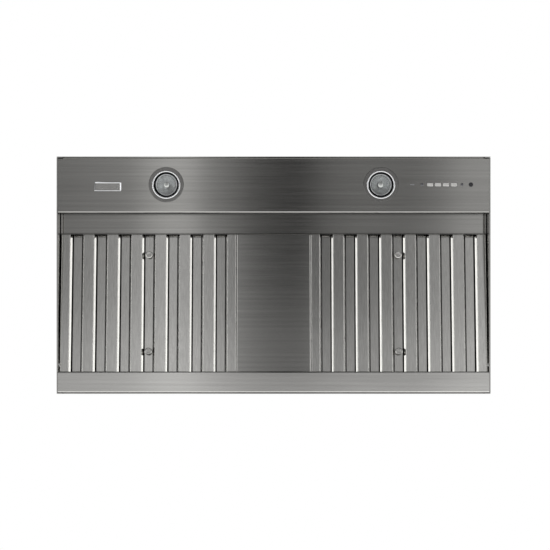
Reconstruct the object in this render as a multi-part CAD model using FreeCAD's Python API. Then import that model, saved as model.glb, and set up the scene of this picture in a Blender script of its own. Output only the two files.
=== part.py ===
import FreeCAD
import Part
import math
import os

# Range hood insert: a sheet-metal liner that hangs inside a cabinet, seen and used from below.
# +Z up, the front (user) side faces -Y, and the origin is the centre of the bottom rim.
# All sizes are millimetres.

Vec = FreeCAD.Vector
ALONG_X = Vec(1, 0, 0)
ALONG_Y = Vec(0, 1, 0)
UP = Vec(0, 0, 1)

# ---- driving dimensions -------------------------------------------------------------------------
WIDTH = 1026.0              # outside, side panel to side panel
DEPTH = 561.0               # outside, front wall to rear wall
BODY_HEIGHT = 305.0         # bottom rim to the top panel's upper face
STEEL = 1.2                 # stainless sheet of the liner
GALV = 1.0                  # galvanised sheet of the hidden parts
BEND = 1.6                  # inside radius of a bend
FLANGE = 14.0               # joining flanges of the shell
HEM = 10.0                  # folded bottom edges
SEAM_GAP = 0.4              # play between panels that slip together

PANEL_DEPTH = 132.5         # control panel, front edge to riser
PANEL_RISE = 2.0            # its face above the rim
LEDGE_HEIGHT = 58.0         # underside of the filter ledge
LEDGE_DEPTH = 49.5
LIP_DROP = 6.0              # turned-down edge of the ledge
TROUGH_DEPTH = 52.0
TROUGH_LIP = 23.0           # height of the trough's front edge
TROUGH_BACK = 40.0          # height of its rear flange
TROUGH_END_DROP = 4.0       # its end plates below the lip
STOP_TAB = (24.0, 9.0)      # filter stop: width, height above the trough's lip
REST_GAP = 0.35             # filter to the edges that it lies on

CENTRE_WIDTH = 178.0        # blank panel between the filters
CENTRE_FLANGE = 18.0
FILTER_GAP = 1.0            # filter to the blank panel and to the side hems
FILTER_THICK = 24.0
FILTER_SHEET = 0.8
FILTER_BEND = 1.0           # inside radius of its bends
FILTER_OVERLAP = 14.0       # how far each end tucks behind the ledge and over the trough
BAFFLE_GAP = 25.2           # open width between two lower baffles
BAFFLE_FACE = 25.6          # flat face of a lower baffle
BAFFLE_SPLAY = 3.4          # its flanges lean out by this much
BAFFLE_RISE = 13.0          # height of its flanges
SIDE_RAIL_LEAST = 15.0      # flat beside the first and the last gap, at least
UPPER_LAP = 5.0             # upper baffle past the edge of the gap
UPPER_DROP = 11.0           # height of the upper baffle's flanges
FRAME_TOP_FLANGE = 9.0
END_SHY = 2.0               # end rails' lower flange short of the ledge and the trough
KNOB_SPACING = 233.0
KNOB_RADIUS = 8.6
KNOB_HEAD = 5.0
KNOB_STEM = 4.0             # radius
KNOB_RIVET = 2.0            # radius
KNOB_HEIGHT = 15.0          # head's face below the upper baffle's web
KNOB_EDGE = 1.4             # bevel round its face
KNOB_DISH = 0.8             # depth of the dish in its face

LAMP_INSET = 259.0          # a lamp's middle to the liner's end
LAMP_HOLE = 35.0            # radius of the hole in the panel
LAMP_FACE = 25.2            # radius of the glass
LAMP_GAP = 1.5              # glass to the bezel's throat
LAMP_LENGTH = 53.0          # face to the ends of the pins
LAMP_BASE = 12.5            # radius
LAMP_PIN = 7.0
LAMP_PIN_RADIUS = 2.3
LAMP_PIN_SPACING = 10.0
LAMP_RECESS = 5.0           # glass above the panel's face
BEZEL_RADIUS = 41.5
BEZEL_RING = 31.5           # crest of the bright ring
BEZEL_PROUD = 1.5
BEZEL_NECK = 13.0
BEZEL_SHEET = 1.2
BEZEL_CREST = 1.8           # half the width of the bright ring
BEZEL_EDGE = 0.8            # bevel round its rim
BEZEL_PLAY = 0.4            # neck to the hole in the panel
THROAT_LENGTH = 3.0         # short tube round the lamp's face
CAN_HEIGHT = 84.0
CAN_CLEAR = 5.0             # can's wall outside the hole in the panel
CAN_FLANGE = 7.0
CAN_TAPER = (6.0, 14.0)     # how far its top is drawn in, and over what height
SOCKET = (24.0, 14.0, 16.0)
SOCKET_CORNER = 3.0

BUTTON_INSET = 114.7        # middle of the row of buttons to the liner's right end
BUTTON_PITCH = 18.8
BUTTON_COUNT = 4
BUTTON_SIZE = (14.0, 7.6)
BUTTON_PROUD = 1.2
BUTTON_TRAVEL = 1.0
BUTTON_CORNER = 1.6
BUTTON_EDGE = 0.5           # rounding round its face
BUTTON_GAP = 0.3            # window round a button
BUTTON_SEAT = 0.05          # flange to the floor that it rests on
LIGHT_BUTTON_SIDE = 68.4    # lamp button right of the row's middle
LIGHT_BUTTON_RADIUS = 5.0
INDICATOR_SIDE = 70.2       # indicator left of it
INDICATOR_SIZE = (9.5, 2.6)
INDICATOR_CORNER = 1.2
INDICATOR_PROUD = 0.2
CONTROL_SCREW_SPACING = 94.6
BUTTON_FLANGE = 1.2         # retaining flange: width and thickness
BUTTON_STEM = 2.0           # radius
HOUSING_SIDE = 1.7          # switch housing right of it
SWITCH_HOUSING = (168.0, 32.0, 17.0)
HOUSING_WALL = 2.0
HOUSING_FLOOR = 3.0
HOUSING_CORNER = 3.0
BOARD_THICK = 1.6
SWITCH_BODY = (6.0, 4.0)    # side and height of a push switch on the board
SCREW_SHANK = 1.9
SCREW_HEAD = 3.6
SCREW_HEAD_HEIGHT = 1.6
SCREW_LENGTH = 8.0
SCREW_PLAY = 0.15
HOLE_REACH = 5.0            # how far a drill runs each side of a sheet

WHEEL_RADIUS = 75.0
WHEEL_SIDE = 6.0            # wheel to the side plates
BLADE_COUNT = 32
BLADE_DEPTH = 12.0          # radial
BLADE_THICK = 1.2
BLADE_SWEEP = 5.0           # tip ahead of the root, degrees
RING_THICK = 3.0
DISC_THICK = 1.5
HUB_RADIUS = 14.0
HUB_LENGTH = 26.0
SHAFT_RADIUS = 4.0
SHAFT_PLAY = 0.05
SHAFT_END = 3.0             # shaft past the hub
SHAFT_IN_MOTOR = 62.0
SCROLL_INSET = 4.0          # side plates inside the ends of the blank panel
SEAM_EDGE = 3.0             # side plates past the wrap
SCROLL_STEP = 15.0          # growth of the scroll in each quarter turn
SCROLL_CLEAR = 8.0          # wheel to the tongue
TONGUE_ANGLE = 65.0
TONGUE_RADIUS = 8.0
WHEEL_Z = 192.0
INLET_RADIUS = 60.0
BELL_RADIUS = 8.0
MOTOR_RADIUS = 42.0
MOTOR_LENGTH = 78.0
MOTOR_STANDOFF = 15.0
BELL_LENGTH = 18.0          # end bells of the motor
BELL_STEP = 3.0             # the bells' radius under the body's
BOSS_WALL = 9.0             # bearing boss round the shaft
ARM_WIDTH = 14.0
ARM_THICK = 2.0
ARM_FOOT = 12.0
ARM_ANGLE = 75.0
ARM_COUNT = 3
ARM_CLEAR = 6.0             # arms outside the inlet's mouth
CAPACITOR = (17.0, 62.0)    # radius, length
CAPACITOR_ANGLE = 240.0
STUD_RADIUS = 4.0
STUD_LENGTH = 8.0
NUT_THICK = 5.0
CAPACITOR_CLEAR = 5.0       # can to the inlet's mouth
CAPACITOR_TERMINALS = (5.0, 6.0)    # radius, height

DUCT_Y = 60.0
COLLAR_RADIUS = 99.5        # outside
COLLAR_SHEET = 0.8
COLLAR_HEIGHT = 50.0
COLLAR_FLANGE = 16.0
COLLAR_SCREWS = 6
COLLAR_BEAD_Z = 10.0
COLLAR_BEAD = 1.6
DAMPER_Z = 24.0             # rod above the top panel
ROD_RADIUS = 2.5
ROD_PLAY = 0.08
KNUCKLE_WALL = 1.3
KNUCKLE_LENGTH = 28.0
KNUCKLE_GAP = 1.0
FLAP_THICK = 0.8
FLAP_CLEAR = 1.6            # flap to the collar
SEAM_PLAY = 0.1             # between pieces that meet face to face but move or lift off
DAMPER_STOP = (20.0, 6.0)   # stop tab: width, reach inside the collar

BOX_SIZE = (104.0, 104.0, 46.0)
BOX_AT = (330.0, 120.0)
BOX_SCREW_INSET = 14.0
CLAMP_BORE = 8.5
CLAMP_RADIUS = 11.0
CLAMP_LENGTH = 20.0
CLAMP_NUT = (4.0, 5.0)      # flange past the thread, thickness
TERMINALS = (66.0, 16.0, 18.0)
TERMINAL_COUNT = 6
TERMINAL_DEPTH = 5.0
HANGER_SPACING = (940.0, 460.0)
HANGER_HOLE = 4.5
SIDE_HOLE = 3.2
SIDE_SPACING = (420.0, 130.0)
SIDE_HOLE_Z = 195.0
COVER_HEIGHT = 118.0        # top of the electrical compartment
LEAD_RADIUS = 2.5
LEAD_CLEAR = 6.0            # leads to the sheets that they run along
LEAD_HOLE_GAP = 1.5
LEAD_LANE = 10.0            # between leads that run side by side
LEAD_BEND = (40.0, 60.0)    # run before a lead from the motor turns up, and from a lamp turns aside
BOARD_TERMINAL = (30.0, 28.0, 11.0)
RELAY = (14.0, 18.0, 14.0)
BEAD_ROWS = (-175.0, -75.0, 225.0)
BEAD_WIDTH = 16.0
BEAD_RISE = 2.5

# ---- places worked out from them ----------------------------------------------------------------
HALF_W = WIDTH / 2
HALF_D = DEPTH / 2
SHELL_TOP = BODY_HEIGHT - STEEL
INSIDE_W = HALF_W - 2 * STEEL - SEAM_GAP      # half width between the side hems
INSIDE_D = HALF_D - 2 * STEEL - SEAM_GAP      # half depth between the front and rear hems
RISER_Y = -HALF_D + PANEL_DEPTH
LIP_Y = RISER_Y + LEDGE_DEPTH
LEDGE_TOP = LEDGE_HEIGHT + STEEL
TROUGH_Y = HALF_D - TROUGH_DEPTH
CONTROL_Y = -HALF_D + PANEL_DEPTH / 2
LAMP_X = HALF_W - LAMP_INSET
BUTTON_X = HALF_W - BUTTON_INSET
LIGHT_BUTTON_X = BUTTON_X + LIGHT_BUTTON_SIDE
INDICATOR_X = BUTTON_X - INDICATOR_SIDE
HOUSING_X = BUTTON_X + HOUSING_SIDE
PANEL_INSIDE = PANEL_RISE + STEEL

# The filters and the blank panel lie on a plane that touches the ledge's bend and the trough's edge.
LIP_RADIUS = BEND + STEEL
SLOPE_RUN = TROUGH_Y + STEEL - (LIP_Y - LIP_RADIUS)
SLOPE_FALL = LEDGE_TOP - LIP_RADIUS - TROUGH_LIP
SLOPE = math.asin(LIP_RADIUS / math.hypot(SLOPE_RUN, SLOPE_FALL)) + math.atan2(SLOPE_FALL, SLOPE_RUN)
MIDDLE_Y = (LIP_Y + TROUGH_Y) / 2
MIDDLE_Z = TROUGH_LIP + (TROUGH_Y + STEEL - MIDDLE_Y) * math.tan(SLOPE)
FILTER_LENGTH = (TROUGH_Y - LIP_Y) / math.cos(SLOPE) + 2 * FILTER_OVERLAP
FILTER_OUTER = INSIDE_W - FILTER_GAP
FILTER_INNER = CENTRE_WIDTH / 2 + FILTER_GAP
FILTER_WIDTH = FILTER_OUTER - FILTER_INNER
FILTER_X = (FILTER_OUTER + FILTER_INNER) / 2
LOWER_WIDTH = BAFFLE_FACE + 2 * BAFFLE_SPLAY
BAFFLE_PITCH = BAFFLE_GAP + LOWER_WIDTH
BAFFLE_PAIRS = int((FILTER_WIDTH / 2 - SIDE_RAIL_LEAST - BAFFLE_GAP / 2) / BAFFLE_PITCH)
BAFFLE_GAPS = 2 * BAFFLE_PAIRS + 1            # odd, so that the knobs' channel is in the middle
SIDE_RAIL = (FILTER_WIDTH - BAFFLE_GAPS * BAFFLE_GAP - (BAFFLE_GAPS - 1) * LOWER_WIDTH) / 2
UPPER_WIDTH = BAFFLE_GAP + 2 * UPPER_LAP
UPPER_TOP = FILTER_THICK - FILTER_SHEET
END_LAP = FILTER_OVERLAP - END_SHY

# The scroll: quarter arcs about the corners of a small square round the wheel's axis.
TONGUE_R = WHEEL_RADIUS + SCROLL_CLEAR
OUTLET_REACH = TONGUE_R + 3 * SCROLL_STEP + SCROLL_STEP / 2
TONGUE = math.radians(TONGUE_ANGLE)
NOSE_REACH = -SCROLL_STEP / 2 + (TONGUE_R + TONGUE_RADIUS) * math.cos(TONGUE) + TONGUE_RADIUS
WHEEL_Y = DUCT_Y - (OUTLET_REACH + NOSE_REACH) / 2
OUTLET_FRONT = WHEEL_Y + NOSE_REACH
OUTLET_REAR = WHEEL_Y + OUTLET_REACH
PLATE_X = CENTRE_WIDTH / 2 - SCROLL_INSET
SCROLL_WIDTH = 2 * PLATE_X
WHEEL_WIDTH = SCROLL_WIDTH - 2 * WHEEL_SIDE
MOTOR_X = PLATE_X + GALV + MOTOR_STANDOFF
COLLAR_INSIDE = COLLAR_RADIUS - COLLAR_SHEET
ROD_Z = BODY_HEIGHT + DAMPER_Z
KNUCKLE_RADIUS = ROD_RADIUS + ROD_PLAY + KNUCKLE_WALL


# ---- helpers ------------------------------------------------------------------------------------
def box(x0, x1, y0, y1, z0, z1):
    """A block between two corners."""
    return Part.makeBox(x1 - x0, y1 - y0, z1 - z0, Vec(x0, y0, z0))


def rod(radius, start, end):
    """A round bar from one point to another."""
    return Part.makeCylinder(radius, (end - start).Length, start, end - start)


def lift(point, axis, at):
    """A 2-D point in the plane square to an axis, as a point in space."""
    u, v = point
    return {"X": Vec(at, u, v), "Y": Vec(u, at, v), "Z": Vec(u, v, at)}[axis]


def closed(points):
    """The straight pieces that join points into a loop."""
    return list(zip(points, points[1:] + points[:1]))


def face_of(chain, axis, at):
    """A flat face. Its loop is 2-D pieces: (start, end) for a line, (start, middle, end) for an arc."""
    edges = []
    for piece in chain:
        spots = [lift(p, axis, at) for p in piece]
        if (spots[0] - spots[-1]).Length < 1e-7:
            continue
        curve = Part.LineSegment(*spots) if len(spots) == 2 else Part.Arc(*spots)
        edges.append(curve.toShape())
    return Part.Face(Part.Wire(Part.__sortEdges__(edges)))


def extrude(chain, axis, start, end):
    """A closed 2-D chain as a solid between two places on an axis."""
    return face_of(chain, axis, start).extrude(lift((0, 0), axis, end - start))


def turned(chain, centre, axis="Z"):
    """A revolved solid. Its loop is in (radius, height), with the height along Z or X."""
    solid = face_of(chain, "Y", 0).revolve(Vec(0, 0, 0), Vec(0, 0, 1), 360)
    if axis == "X":
        solid.rotate(Vec(0, 0, 0), Vec(0, 1, 0), 90)
    solid.translate(centre)
    return solid


def folded(points, thick, axis, start, end, bend=BEND):
    """A sheet folded along a line of 2-D points, with the metal on the line's left."""
    near, far = [], []
    line = [Vec(u, v, 0) for u, v in points]
    along = [(b - a).normalize() for a, b in zip(line, line[1:])]
    left = [Vec(-d.y, d.x, 0) for d in along]
    at_near, at_far = line[0], line[0] + left[0] * thick
    for i, corner in enumerate(line[1:-1]):
        turn = math.atan2(along[i].cross(along[i + 1]).z, along[i].dot(along[i + 1]))
        side = 1 if turn > 0 else -1
        radius = bend + thick if side > 0 else bend
        back = radius * math.tan(abs(turn) / 2)
        enter, leave = corner - along[i] * back, corner + along[i + 1] * back
        hub = enter + left[i] * (radius * side)
        out = (corner - hub).normalize()
        near += [(at_near, enter), (enter, hub + out * radius, leave)]
        enter_far, leave_far = enter + left[i] * thick, leave + left[i + 1] * thick
        far += [(at_far, enter_far), (enter_far, hub + out * (radius - side * thick), leave_far)]
        at_near, at_far = leave, leave_far
    near.append((at_near, line[-1]))
    far.append((at_far, line[-1] + left[-1] * thick))
    caps = [(near[0][0], far[0][0]), (near[-1][-1], far[-1][-1])]
    chain = [tuple((p.x, p.y) for p in piece) for piece in near + far + caps]
    return extrude(chain, axis, start, end)


def washer(inner, outer, start, end):
    """A round plate with a round hole, on the X axis."""
    return turned(closed([(inner, start), (outer, start), (outer, end), (inner, end)]), Vec(0, 0, 0), "X")


def mirrored(shape, normal=ALONG_X):
    """The same shape on the other side of the middle."""
    return shape.mirror(Vec(0, 0, 0), normal)


def rounded_block(centre, size, corner, z0, z1):
    """An upright block with rounded corners in plan."""
    x, y = centre
    block = box(x - size[0] / 2, x + size[0] / 2, y - size[1] / 2, y + size[1] / 2, z0, z1)
    upright = [e for e in block.Edges if abs(e.tangentAt(e.FirstParameter).z) > 0.9]
    return block.makeFillet(min(corner, min(size) * 0.45), upright)


def on_slope(shape, gap=0.0):
    """Moves a piece drawn flat about the origin onto the filters' slope."""
    shape.rotate(Vec(0, 0, 0), ALONG_X, -math.degrees(SLOPE))
    shape.translate(Vec(0, MIDDLE_Y, MIDDLE_Z + gap))
    return shape


def tube(points, radius):
    """A lead: straight runs joined by arcs as large as their runs allow."""
    line = [Vec(*p) for p in points]
    runs = [b - a for a, b in zip(line, line[1:])]
    edges, start = [], line[0]
    for i, corner in enumerate(line[1:-1]):
        before, after = Vec(runs[i]).normalize(), Vec(runs[i + 1]).normalize()
        back = 0.45 * min(runs[i].Length, runs[i + 1].Length)
        half = before.getAngle(after) / 2
        bend_radius = back / math.tan(half)
        enter, leave = corner - before * back, corner + after * back
        inward = (after - before).normalize()
        hub = corner + inward * (bend_radius / math.cos(half))
        edges.append(Part.LineSegment(start, enter).toShape())
        edges.append(Part.Arc(enter, hub - inward * bend_radius, leave).toShape())
        start = leave
    edges.append(Part.LineSegment(start, line[-1]).toShape())
    section = Part.Wire(Part.Circle(line[0], runs[0], radius).toShape())
    return Part.Wire(edges).makePipeShell([section], True, False)


def screw_at(place, way, length=SCREW_LENGTH):
    """A pan-head screw. Its head sits on the sheet at a place, and its shank points along a way."""
    head = rod(SCREW_HEAD, place, place - way * SCREW_HEAD_HEIGHT)
    rim = [e for e in head.Edges if (e.CenterOfMass - place).dot(way) < -0.9 * SCREW_HEAD_HEIGHT]
    head = head.makeChamfer(SCREW_HEAD_HEIGHT * 0.5, rim)
    return head.fuse(rod(SCREW_SHANK, place - way * (SCREW_HEAD_HEIGHT / 2), place + way * length))


def drill(place, way, radius, reach=HOLE_REACH):
    """A round cutter that runs as far on both sides of a place."""
    return rod(radius, place - way * reach, place + way * reach)


def screw_hole(place, way, reach=SCREW_LENGTH):
    """What a screw's shank clears through the sheets at its place."""
    return drill(place, way, SCREW_SHANK + SCREW_PLAY, reach)


def lead_hole(place, way):
    """A hole that a lead passes through."""
    return drill(place, way, LEAD_RADIUS + LEAD_HOLE_GAP)


# ---- places shared by several pieces ------------------------------------------------------------
def button_places():
    """The centres of the push buttons."""
    first = BUTTON_X - (BUTTON_COUNT - 1) / 2 * BUTTON_PITCH
    return [first + i * BUTTON_PITCH for i in range(BUTTON_COUNT)]


def control_screws():
    """Where two screws hold the switch housing to the control panel."""
    half = CONTROL_SCREW_SPACING / 2
    return [Vec(BUTTON_X + side * half, CONTROL_Y, PANEL_RISE) for side in (-1, 1)]


def collar_screws():
    """Where screws hold the duct collar to the top panel."""
    reach = COLLAR_RADIUS + COLLAR_FLANGE / 2
    turns = [2 * math.pi * (i + 0.5) / COLLAR_SCREWS for i in range(COLLAR_SCREWS)]
    top = BODY_HEIGHT + COLLAR_SHEET
    return [Vec(reach * math.cos(t), DUCT_Y + reach * math.sin(t), top) for t in turns]


def box_screws():
    """Where screws hold the junction box under the top panel."""
    columns, rows = [[middle + side * (size / 2 - BOX_SCREW_INSET) for side in (-1, 1)]
                     for middle, size in zip(BOX_AT, BOX_SIZE)]
    return [Vec(column, row, BODY_HEIGHT) for column in columns for row in rows]


# ---- the shell ----------------------------------------------------------------------------------
def side_panel():
    """The right side: a folded sheet with joining flanges, a hemmed bottom edge and mounting holes."""
    skin, front, rear = HALF_W, -HALF_D + STEEL, HALF_D - STEEL
    line = [(skin - FLANGE, front), (skin, front), (skin, rear), (skin - FLANGE, rear)]
    panel = folded(line, STEEL, "Z", 0, SHELL_TOP)
    inset = STEEL + BEND
    hem = box(skin - 2 * STEEL, skin - STEEL, front + inset, rear - inset, 0, HEM)
    shelf = box(skin - STEEL - FLANGE, skin - STEEL, front + FLANGE, rear - FLANGE,
                SHELL_TOP - STEEL, SHELL_TOP)
    panel = panel.fuse([hem, shelf]).removeSplitter()
    dy, dz = SIDE_SPACING
    for y in (-dy / 2, dy / 2):
        for z in (SIDE_HOLE_Z - dz / 2, SIDE_HOLE_Z + dz / 2):
            panel = panel.cut(drill(Vec(skin, y, z), ALONG_X, SIDE_HOLE))
    return panel


def end_wall():
    """The front wall: a flat sheet, hemmed along the bottom and flanged under the top panel."""
    outer = -HALF_D
    reach = HALF_W - STEEL - FLANGE - BEND
    line = [(outer + FLANGE, SHELL_TOP), (outer, SHELL_TOP), (outer, 0)]
    wall = folded(line, STEEL, "X", -reach, reach)
    skin = box(-HALF_W, HALF_W, outer, outer + STEEL, 0, SHELL_TOP - STEEL - BEND)
    hem = box(-reach, reach, outer + STEEL, outer + 2 * STEEL, 0, HEM)
    return wall.fuse([skin, hem]).removeSplitter()


def pressed_rib(x0, x1, y):
    """A long rib pressed up in the top panel: the metal that it adds, and the groove under it."""
    shapes = []
    for inset, base in ((0.0, BODY_HEIGHT), (STEEL, SHELL_TOP)):
        half = BEAD_WIDTH / 2 - inset
        points = [(y - half, base), (y - half + BEAD_RISE, base + BEAD_RISE),
                  (y + half - BEAD_RISE, base + BEAD_RISE), (y + half, base)]
        shapes.append(extrude(closed(points), "X", x0 + inset, x1 - inset))
    return shapes


def top_panel():
    """The roof of the liner: pressed ribs, the blower's outlet, hanger holes and a wiring hole."""
    panel = box(-HALF_W, HALF_W, -HALF_D, HALF_D, SHELL_TOP, BODY_HEIGHT)
    clear = COLLAR_RADIUS + 2 * COLLAR_FLANGE
    reach = HALF_W - 2 * FLANGE - BEAD_WIDTH
    for y in BEAD_ROWS:
        for x0, x1 in ((-reach, -clear), (clear, reach)):
            rib, groove = pressed_rib(x0, x1, y)
            panel = panel.fuse(rib).cut(groove)
    outlet = box(-PLATE_X, PLATE_X, OUTLET_FRONT, OUTLET_REAR, SHELL_TOP - STEEL, BODY_HEIGHT + STEEL)
    sx, sy = HANGER_SPACING
    holes = [outlet, drill(Vec(*BOX_AT, BODY_HEIGHT), UP, CLAMP_RADIUS + SCREW_PLAY)]
    for x in (-sx / 2, sx / 2):
        for y in (-sy / 2, sy / 2):
            holes.append(drill(Vec(x, y, BODY_HEIGHT), UP, HANGER_HOLE))
    holes += [screw_hole(p, UP) for p in collar_screws() + box_screws() + scroll_screws()]
    return panel.cut(holes)


def control_panel():
    """The underside panel at the front, a folded pan with its riser up to the filter ledge."""
    line = [(-INSIDE_D, PANEL_RISE + FLANGE), (-INSIDE_D, PANEL_RISE), (RISER_Y, PANEL_RISE),
            (RISER_Y, LEDGE_HEIGHT), (RISER_Y - FLANGE, LEDGE_HEIGHT)]
    panel = folded(line, STEEL, "X", -INSIDE_W, INSIDE_W)
    holes = [drill(Vec(x, CONTROL_Y, PANEL_RISE), UP, LAMP_HOLE) for x in (-LAMP_X, LAMP_X)]
    holes += control_windows(PANEL_RISE - STEEL, PANEL_INSIDE + STEEL)
    holes += [screw_hole(p, UP) for p in control_screws()]
    return panel.cut(holes)


def filter_ledge():
    """The shelf that the filters' front ends lie on, with a turned-down edge."""
    edge = LIP_Y - STEEL
    line = [(RISER_Y - FLANGE, LEDGE_HEIGHT), (edge, LEDGE_HEIGHT), (edge, LEDGE_HEIGHT - LIP_DROP)]
    return folded(line, STEEL, "X", -INSIDE_W, INSIDE_W)


def compartment_cover():
    """The cover that keeps grease off the lamps and the controls."""
    line = [(RISER_Y - FLANGE, LEDGE_TOP), (RISER_Y, LEDGE_TOP), (RISER_Y, COVER_HEIGHT),
            (-INSIDE_D, COVER_HEIGHT), (-INSIDE_D, COVER_HEIGHT - FLANGE)]
    cover = folded(line, GALV, "X", -INSIDE_W, INSIDE_W)
    return cover.cut(lead_hole(Vec(*control_lead_hole(), COVER_HEIGHT), UP))


def centre_panel():
    """The blank panel between the filters, on the same slope."""
    half = CENTRE_WIDTH / 2
    line = [(-half, CENTRE_FLANGE), (-half, 0), (half, 0), (half, CENTRE_FLANGE)]
    return on_slope(folded(line, STEEL, "Y", -FILTER_LENGTH / 2, FILTER_LENGTH / 2))


def filter_rear_at(height):
    """How far back a filter's rear face is at a height."""
    half = FILTER_LENGTH / 2
    rise = (height - REST_GAP - MIDDLE_Z + half * math.sin(SLOPE)) / math.cos(SLOPE)
    return MIDDLE_Y + half * math.cos(SLOPE) + rise * math.sin(SLOPE)


def grease_trough():
    """The channel across the rear: a front edge for the filters' ends, a floor and a back, welded."""
    line = [(TROUGH_Y, TROUGH_LIP), (TROUGH_Y, 0), (INSIDE_D, 0), (INSIDE_D, TROUGH_BACK)]
    channel = folded(line, STEEL, "X", -INSIDE_W, INSIDE_W)
    bend = STEEL + BEND
    strips = []
    for y0, y1 in ((TROUGH_Y, TROUGH_Y + bend), (TROUGH_Y + bend, INSIDE_D - bend), (INSIDE_D - bend, INSIDE_D)):
        strips.append(channel.common(box(-INSIDE_W, INSIDE_W, y0, y1, 0, TROUGH_BACK)))
    return Part.makeCompound(strips)


def trough_ends():
    """Two plates that close the trough, welded in with their lower corners cut to clear its bends."""
    front, rear, top = TROUGH_Y + STEEL, INSIDE_D - STEEL, TROUGH_LIP - TROUGH_END_DROP
    outline = closed([(front, top), (front, STEEL + BEND), (front + BEND, STEEL), (rear - BEND, STEEL),
                      (rear, STEEL + BEND), (rear, top)])
    plate = extrude(outline, "X", INSIDE_W - STEEL, INSIDE_W)
    return Part.makeCompound([plate, mirrored(plate)])


def filter_stops():
    """Two tabs for each filter, welded on edge to the trough's floor just behind the filter."""
    width, rise = STOP_TAB
    top = TROUGH_LIP + rise
    tab_y = filter_rear_at(top) + REST_GAP
    tabs = []
    for x in (-FILTER_X, FILTER_X):
        for middle in (x - FILTER_WIDTH / 4, x + FILTER_WIDTH / 4):
            tabs.append(box(middle - width / 2, middle + width / 2, tab_y, tab_y + STEEL, STEEL, top))
    return Part.makeCompound(tabs)


# ---- the filters --------------------------------------------------------------------------------
def filter_rail(face, axis, half_length):
    """A C-shaped rail along its outer edge, open towards the middle of the filter."""
    line = [(FRAME_TOP_FLANGE, FILTER_THICK), (0, FILTER_THICK), (0, 0)] + face
    return folded(line, FILTER_SHEET, axis, -half_length, half_length, FILTER_BEND)


def filter_frame(x):
    """Four rails round the baffles: sides with the baffles' own flange, and ends tucked out of sight."""
    half_w, half_l = FILTER_WIDTH / 2, FILTER_LENGTH / 2
    flange = [(SIDE_RAIL - BAFFLE_SPLAY, 0), (SIDE_RAIL, FILTER_SHEET + BAFFLE_RISE)]
    side = filter_rail(flange, "Y", half_l)
    side.translate(Vec(-half_w, 0, 0))
    end = filter_rail([(END_LAP, 0)], "X", half_w - FILTER_SHEET - FILTER_BEND)
    end.translate(Vec(0, -half_l, 0))
    corner = box(-half_w, -half_w + SIDE_RAIL, -half_l, half_l, 0, FILTER_SHEET)
    top = box(-half_w, -half_w + FRAME_TOP_FLANGE, -half_l, half_l, UPPER_TOP, FILTER_THICK)
    for piece in (side, corner, top):
        end = end.cut([piece, mirrored(piece)])
    rails = [side, mirrored(side), end, mirrored(end, ALONG_Y)]
    return at_filter(Part.makeCompound(rails), x)


def at_filter(shape, x):
    """Moves a piece drawn flat about the origin to its place in a filter."""
    on_slope(shape, REST_GAP)
    shape.translate(Vec(x, 0, 0))
    return shape


def baffle_half_length():
    """Baffles stop short of the bends in the frame's ends."""
    return FILTER_LENGTH / 2 - FILTER_SHEET - FILTER_BEND


def lower_baffles(x):
    """Channels that show from below, with flanges that lean out."""
    half, rise = BAFFLE_FACE / 2, FILTER_SHEET + BAFFLE_RISE
    splayed = half + BAFFLE_SPLAY
    line = [(-splayed, rise), (-half, FILTER_SHEET), (half, FILTER_SHEET), (splayed, rise)]
    reach = baffle_half_length()
    channels = []
    for i in range(BAFFLE_GAPS - 1):
        channel = folded(line, FILTER_SHEET, "Y", -reach, reach, FILTER_BEND)
        channel.translate(Vec((i - (BAFFLE_GAPS - 2) / 2) * BAFFLE_PITCH, 0, 0))
        channels.append(channel)
    return at_filter(Part.makeCompound(channels), x)


def upper_baffles(x):
    """Channels over the gaps, turned the other way so that air has to fold round their edges."""
    half, drop = UPPER_WIDTH / 2, UPPER_TOP - UPPER_DROP
    line = [(half, drop), (half, UPPER_TOP), (-half, UPPER_TOP), (-half, drop)]
    reach = baffle_half_length()
    channels = []
    for i in range(BAFFLE_GAPS):
        channel = folded(line, FILTER_SHEET, "Y", -reach, reach, FILTER_BEND)
        if i == BAFFLE_GAPS // 2:
            for y in (-KNOB_SPACING / 2, KNOB_SPACING / 2):
                channel = channel.cut(drill(Vec(0, y, UPPER_TOP), UP, KNOB_RIVET + SCREW_PLAY))
        channel.translate(Vec((i - (BAFFLE_GAPS - 1) / 2) * BAFFLE_PITCH, 0, 0))
        channels.append(channel)
    return at_filter(Part.makeCompound(channels), x)


def filter_knobs(x):
    """Two turned pull knobs on the middle channel, each riveted through its web."""
    web = UPPER_TOP - FILTER_SHEET
    face = web - KNOB_HEIGHT
    neck = face + KNOB_HEAD
    dish, edge = KNOB_RADIUS * 0.4, KNOB_EDGE
    outline = closed([
        (0, face + KNOB_DISH), (dish, face + KNOB_DISH), (dish + KNOB_DISH, face),
        (KNOB_RADIUS - edge, face), (KNOB_RADIUS, face + edge), (KNOB_RADIUS, neck - edge / 2),
        (KNOB_RADIUS - edge / 2, neck), (KNOB_STEM, neck),
        (KNOB_STEM, web), (KNOB_RIVET, web), (KNOB_RIVET, UPPER_TOP), (KNOB_STEM, UPPER_TOP),
        (KNOB_STEM * 0.7, FILTER_THICK), (0, FILTER_THICK),
    ])
    knobs = [turned(outline, Vec(0, y, 0)) for y in (-KNOB_SPACING / 2, KNOB_SPACING / 2)]
    return at_filter(Part.makeCompound(knobs), x)


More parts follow.
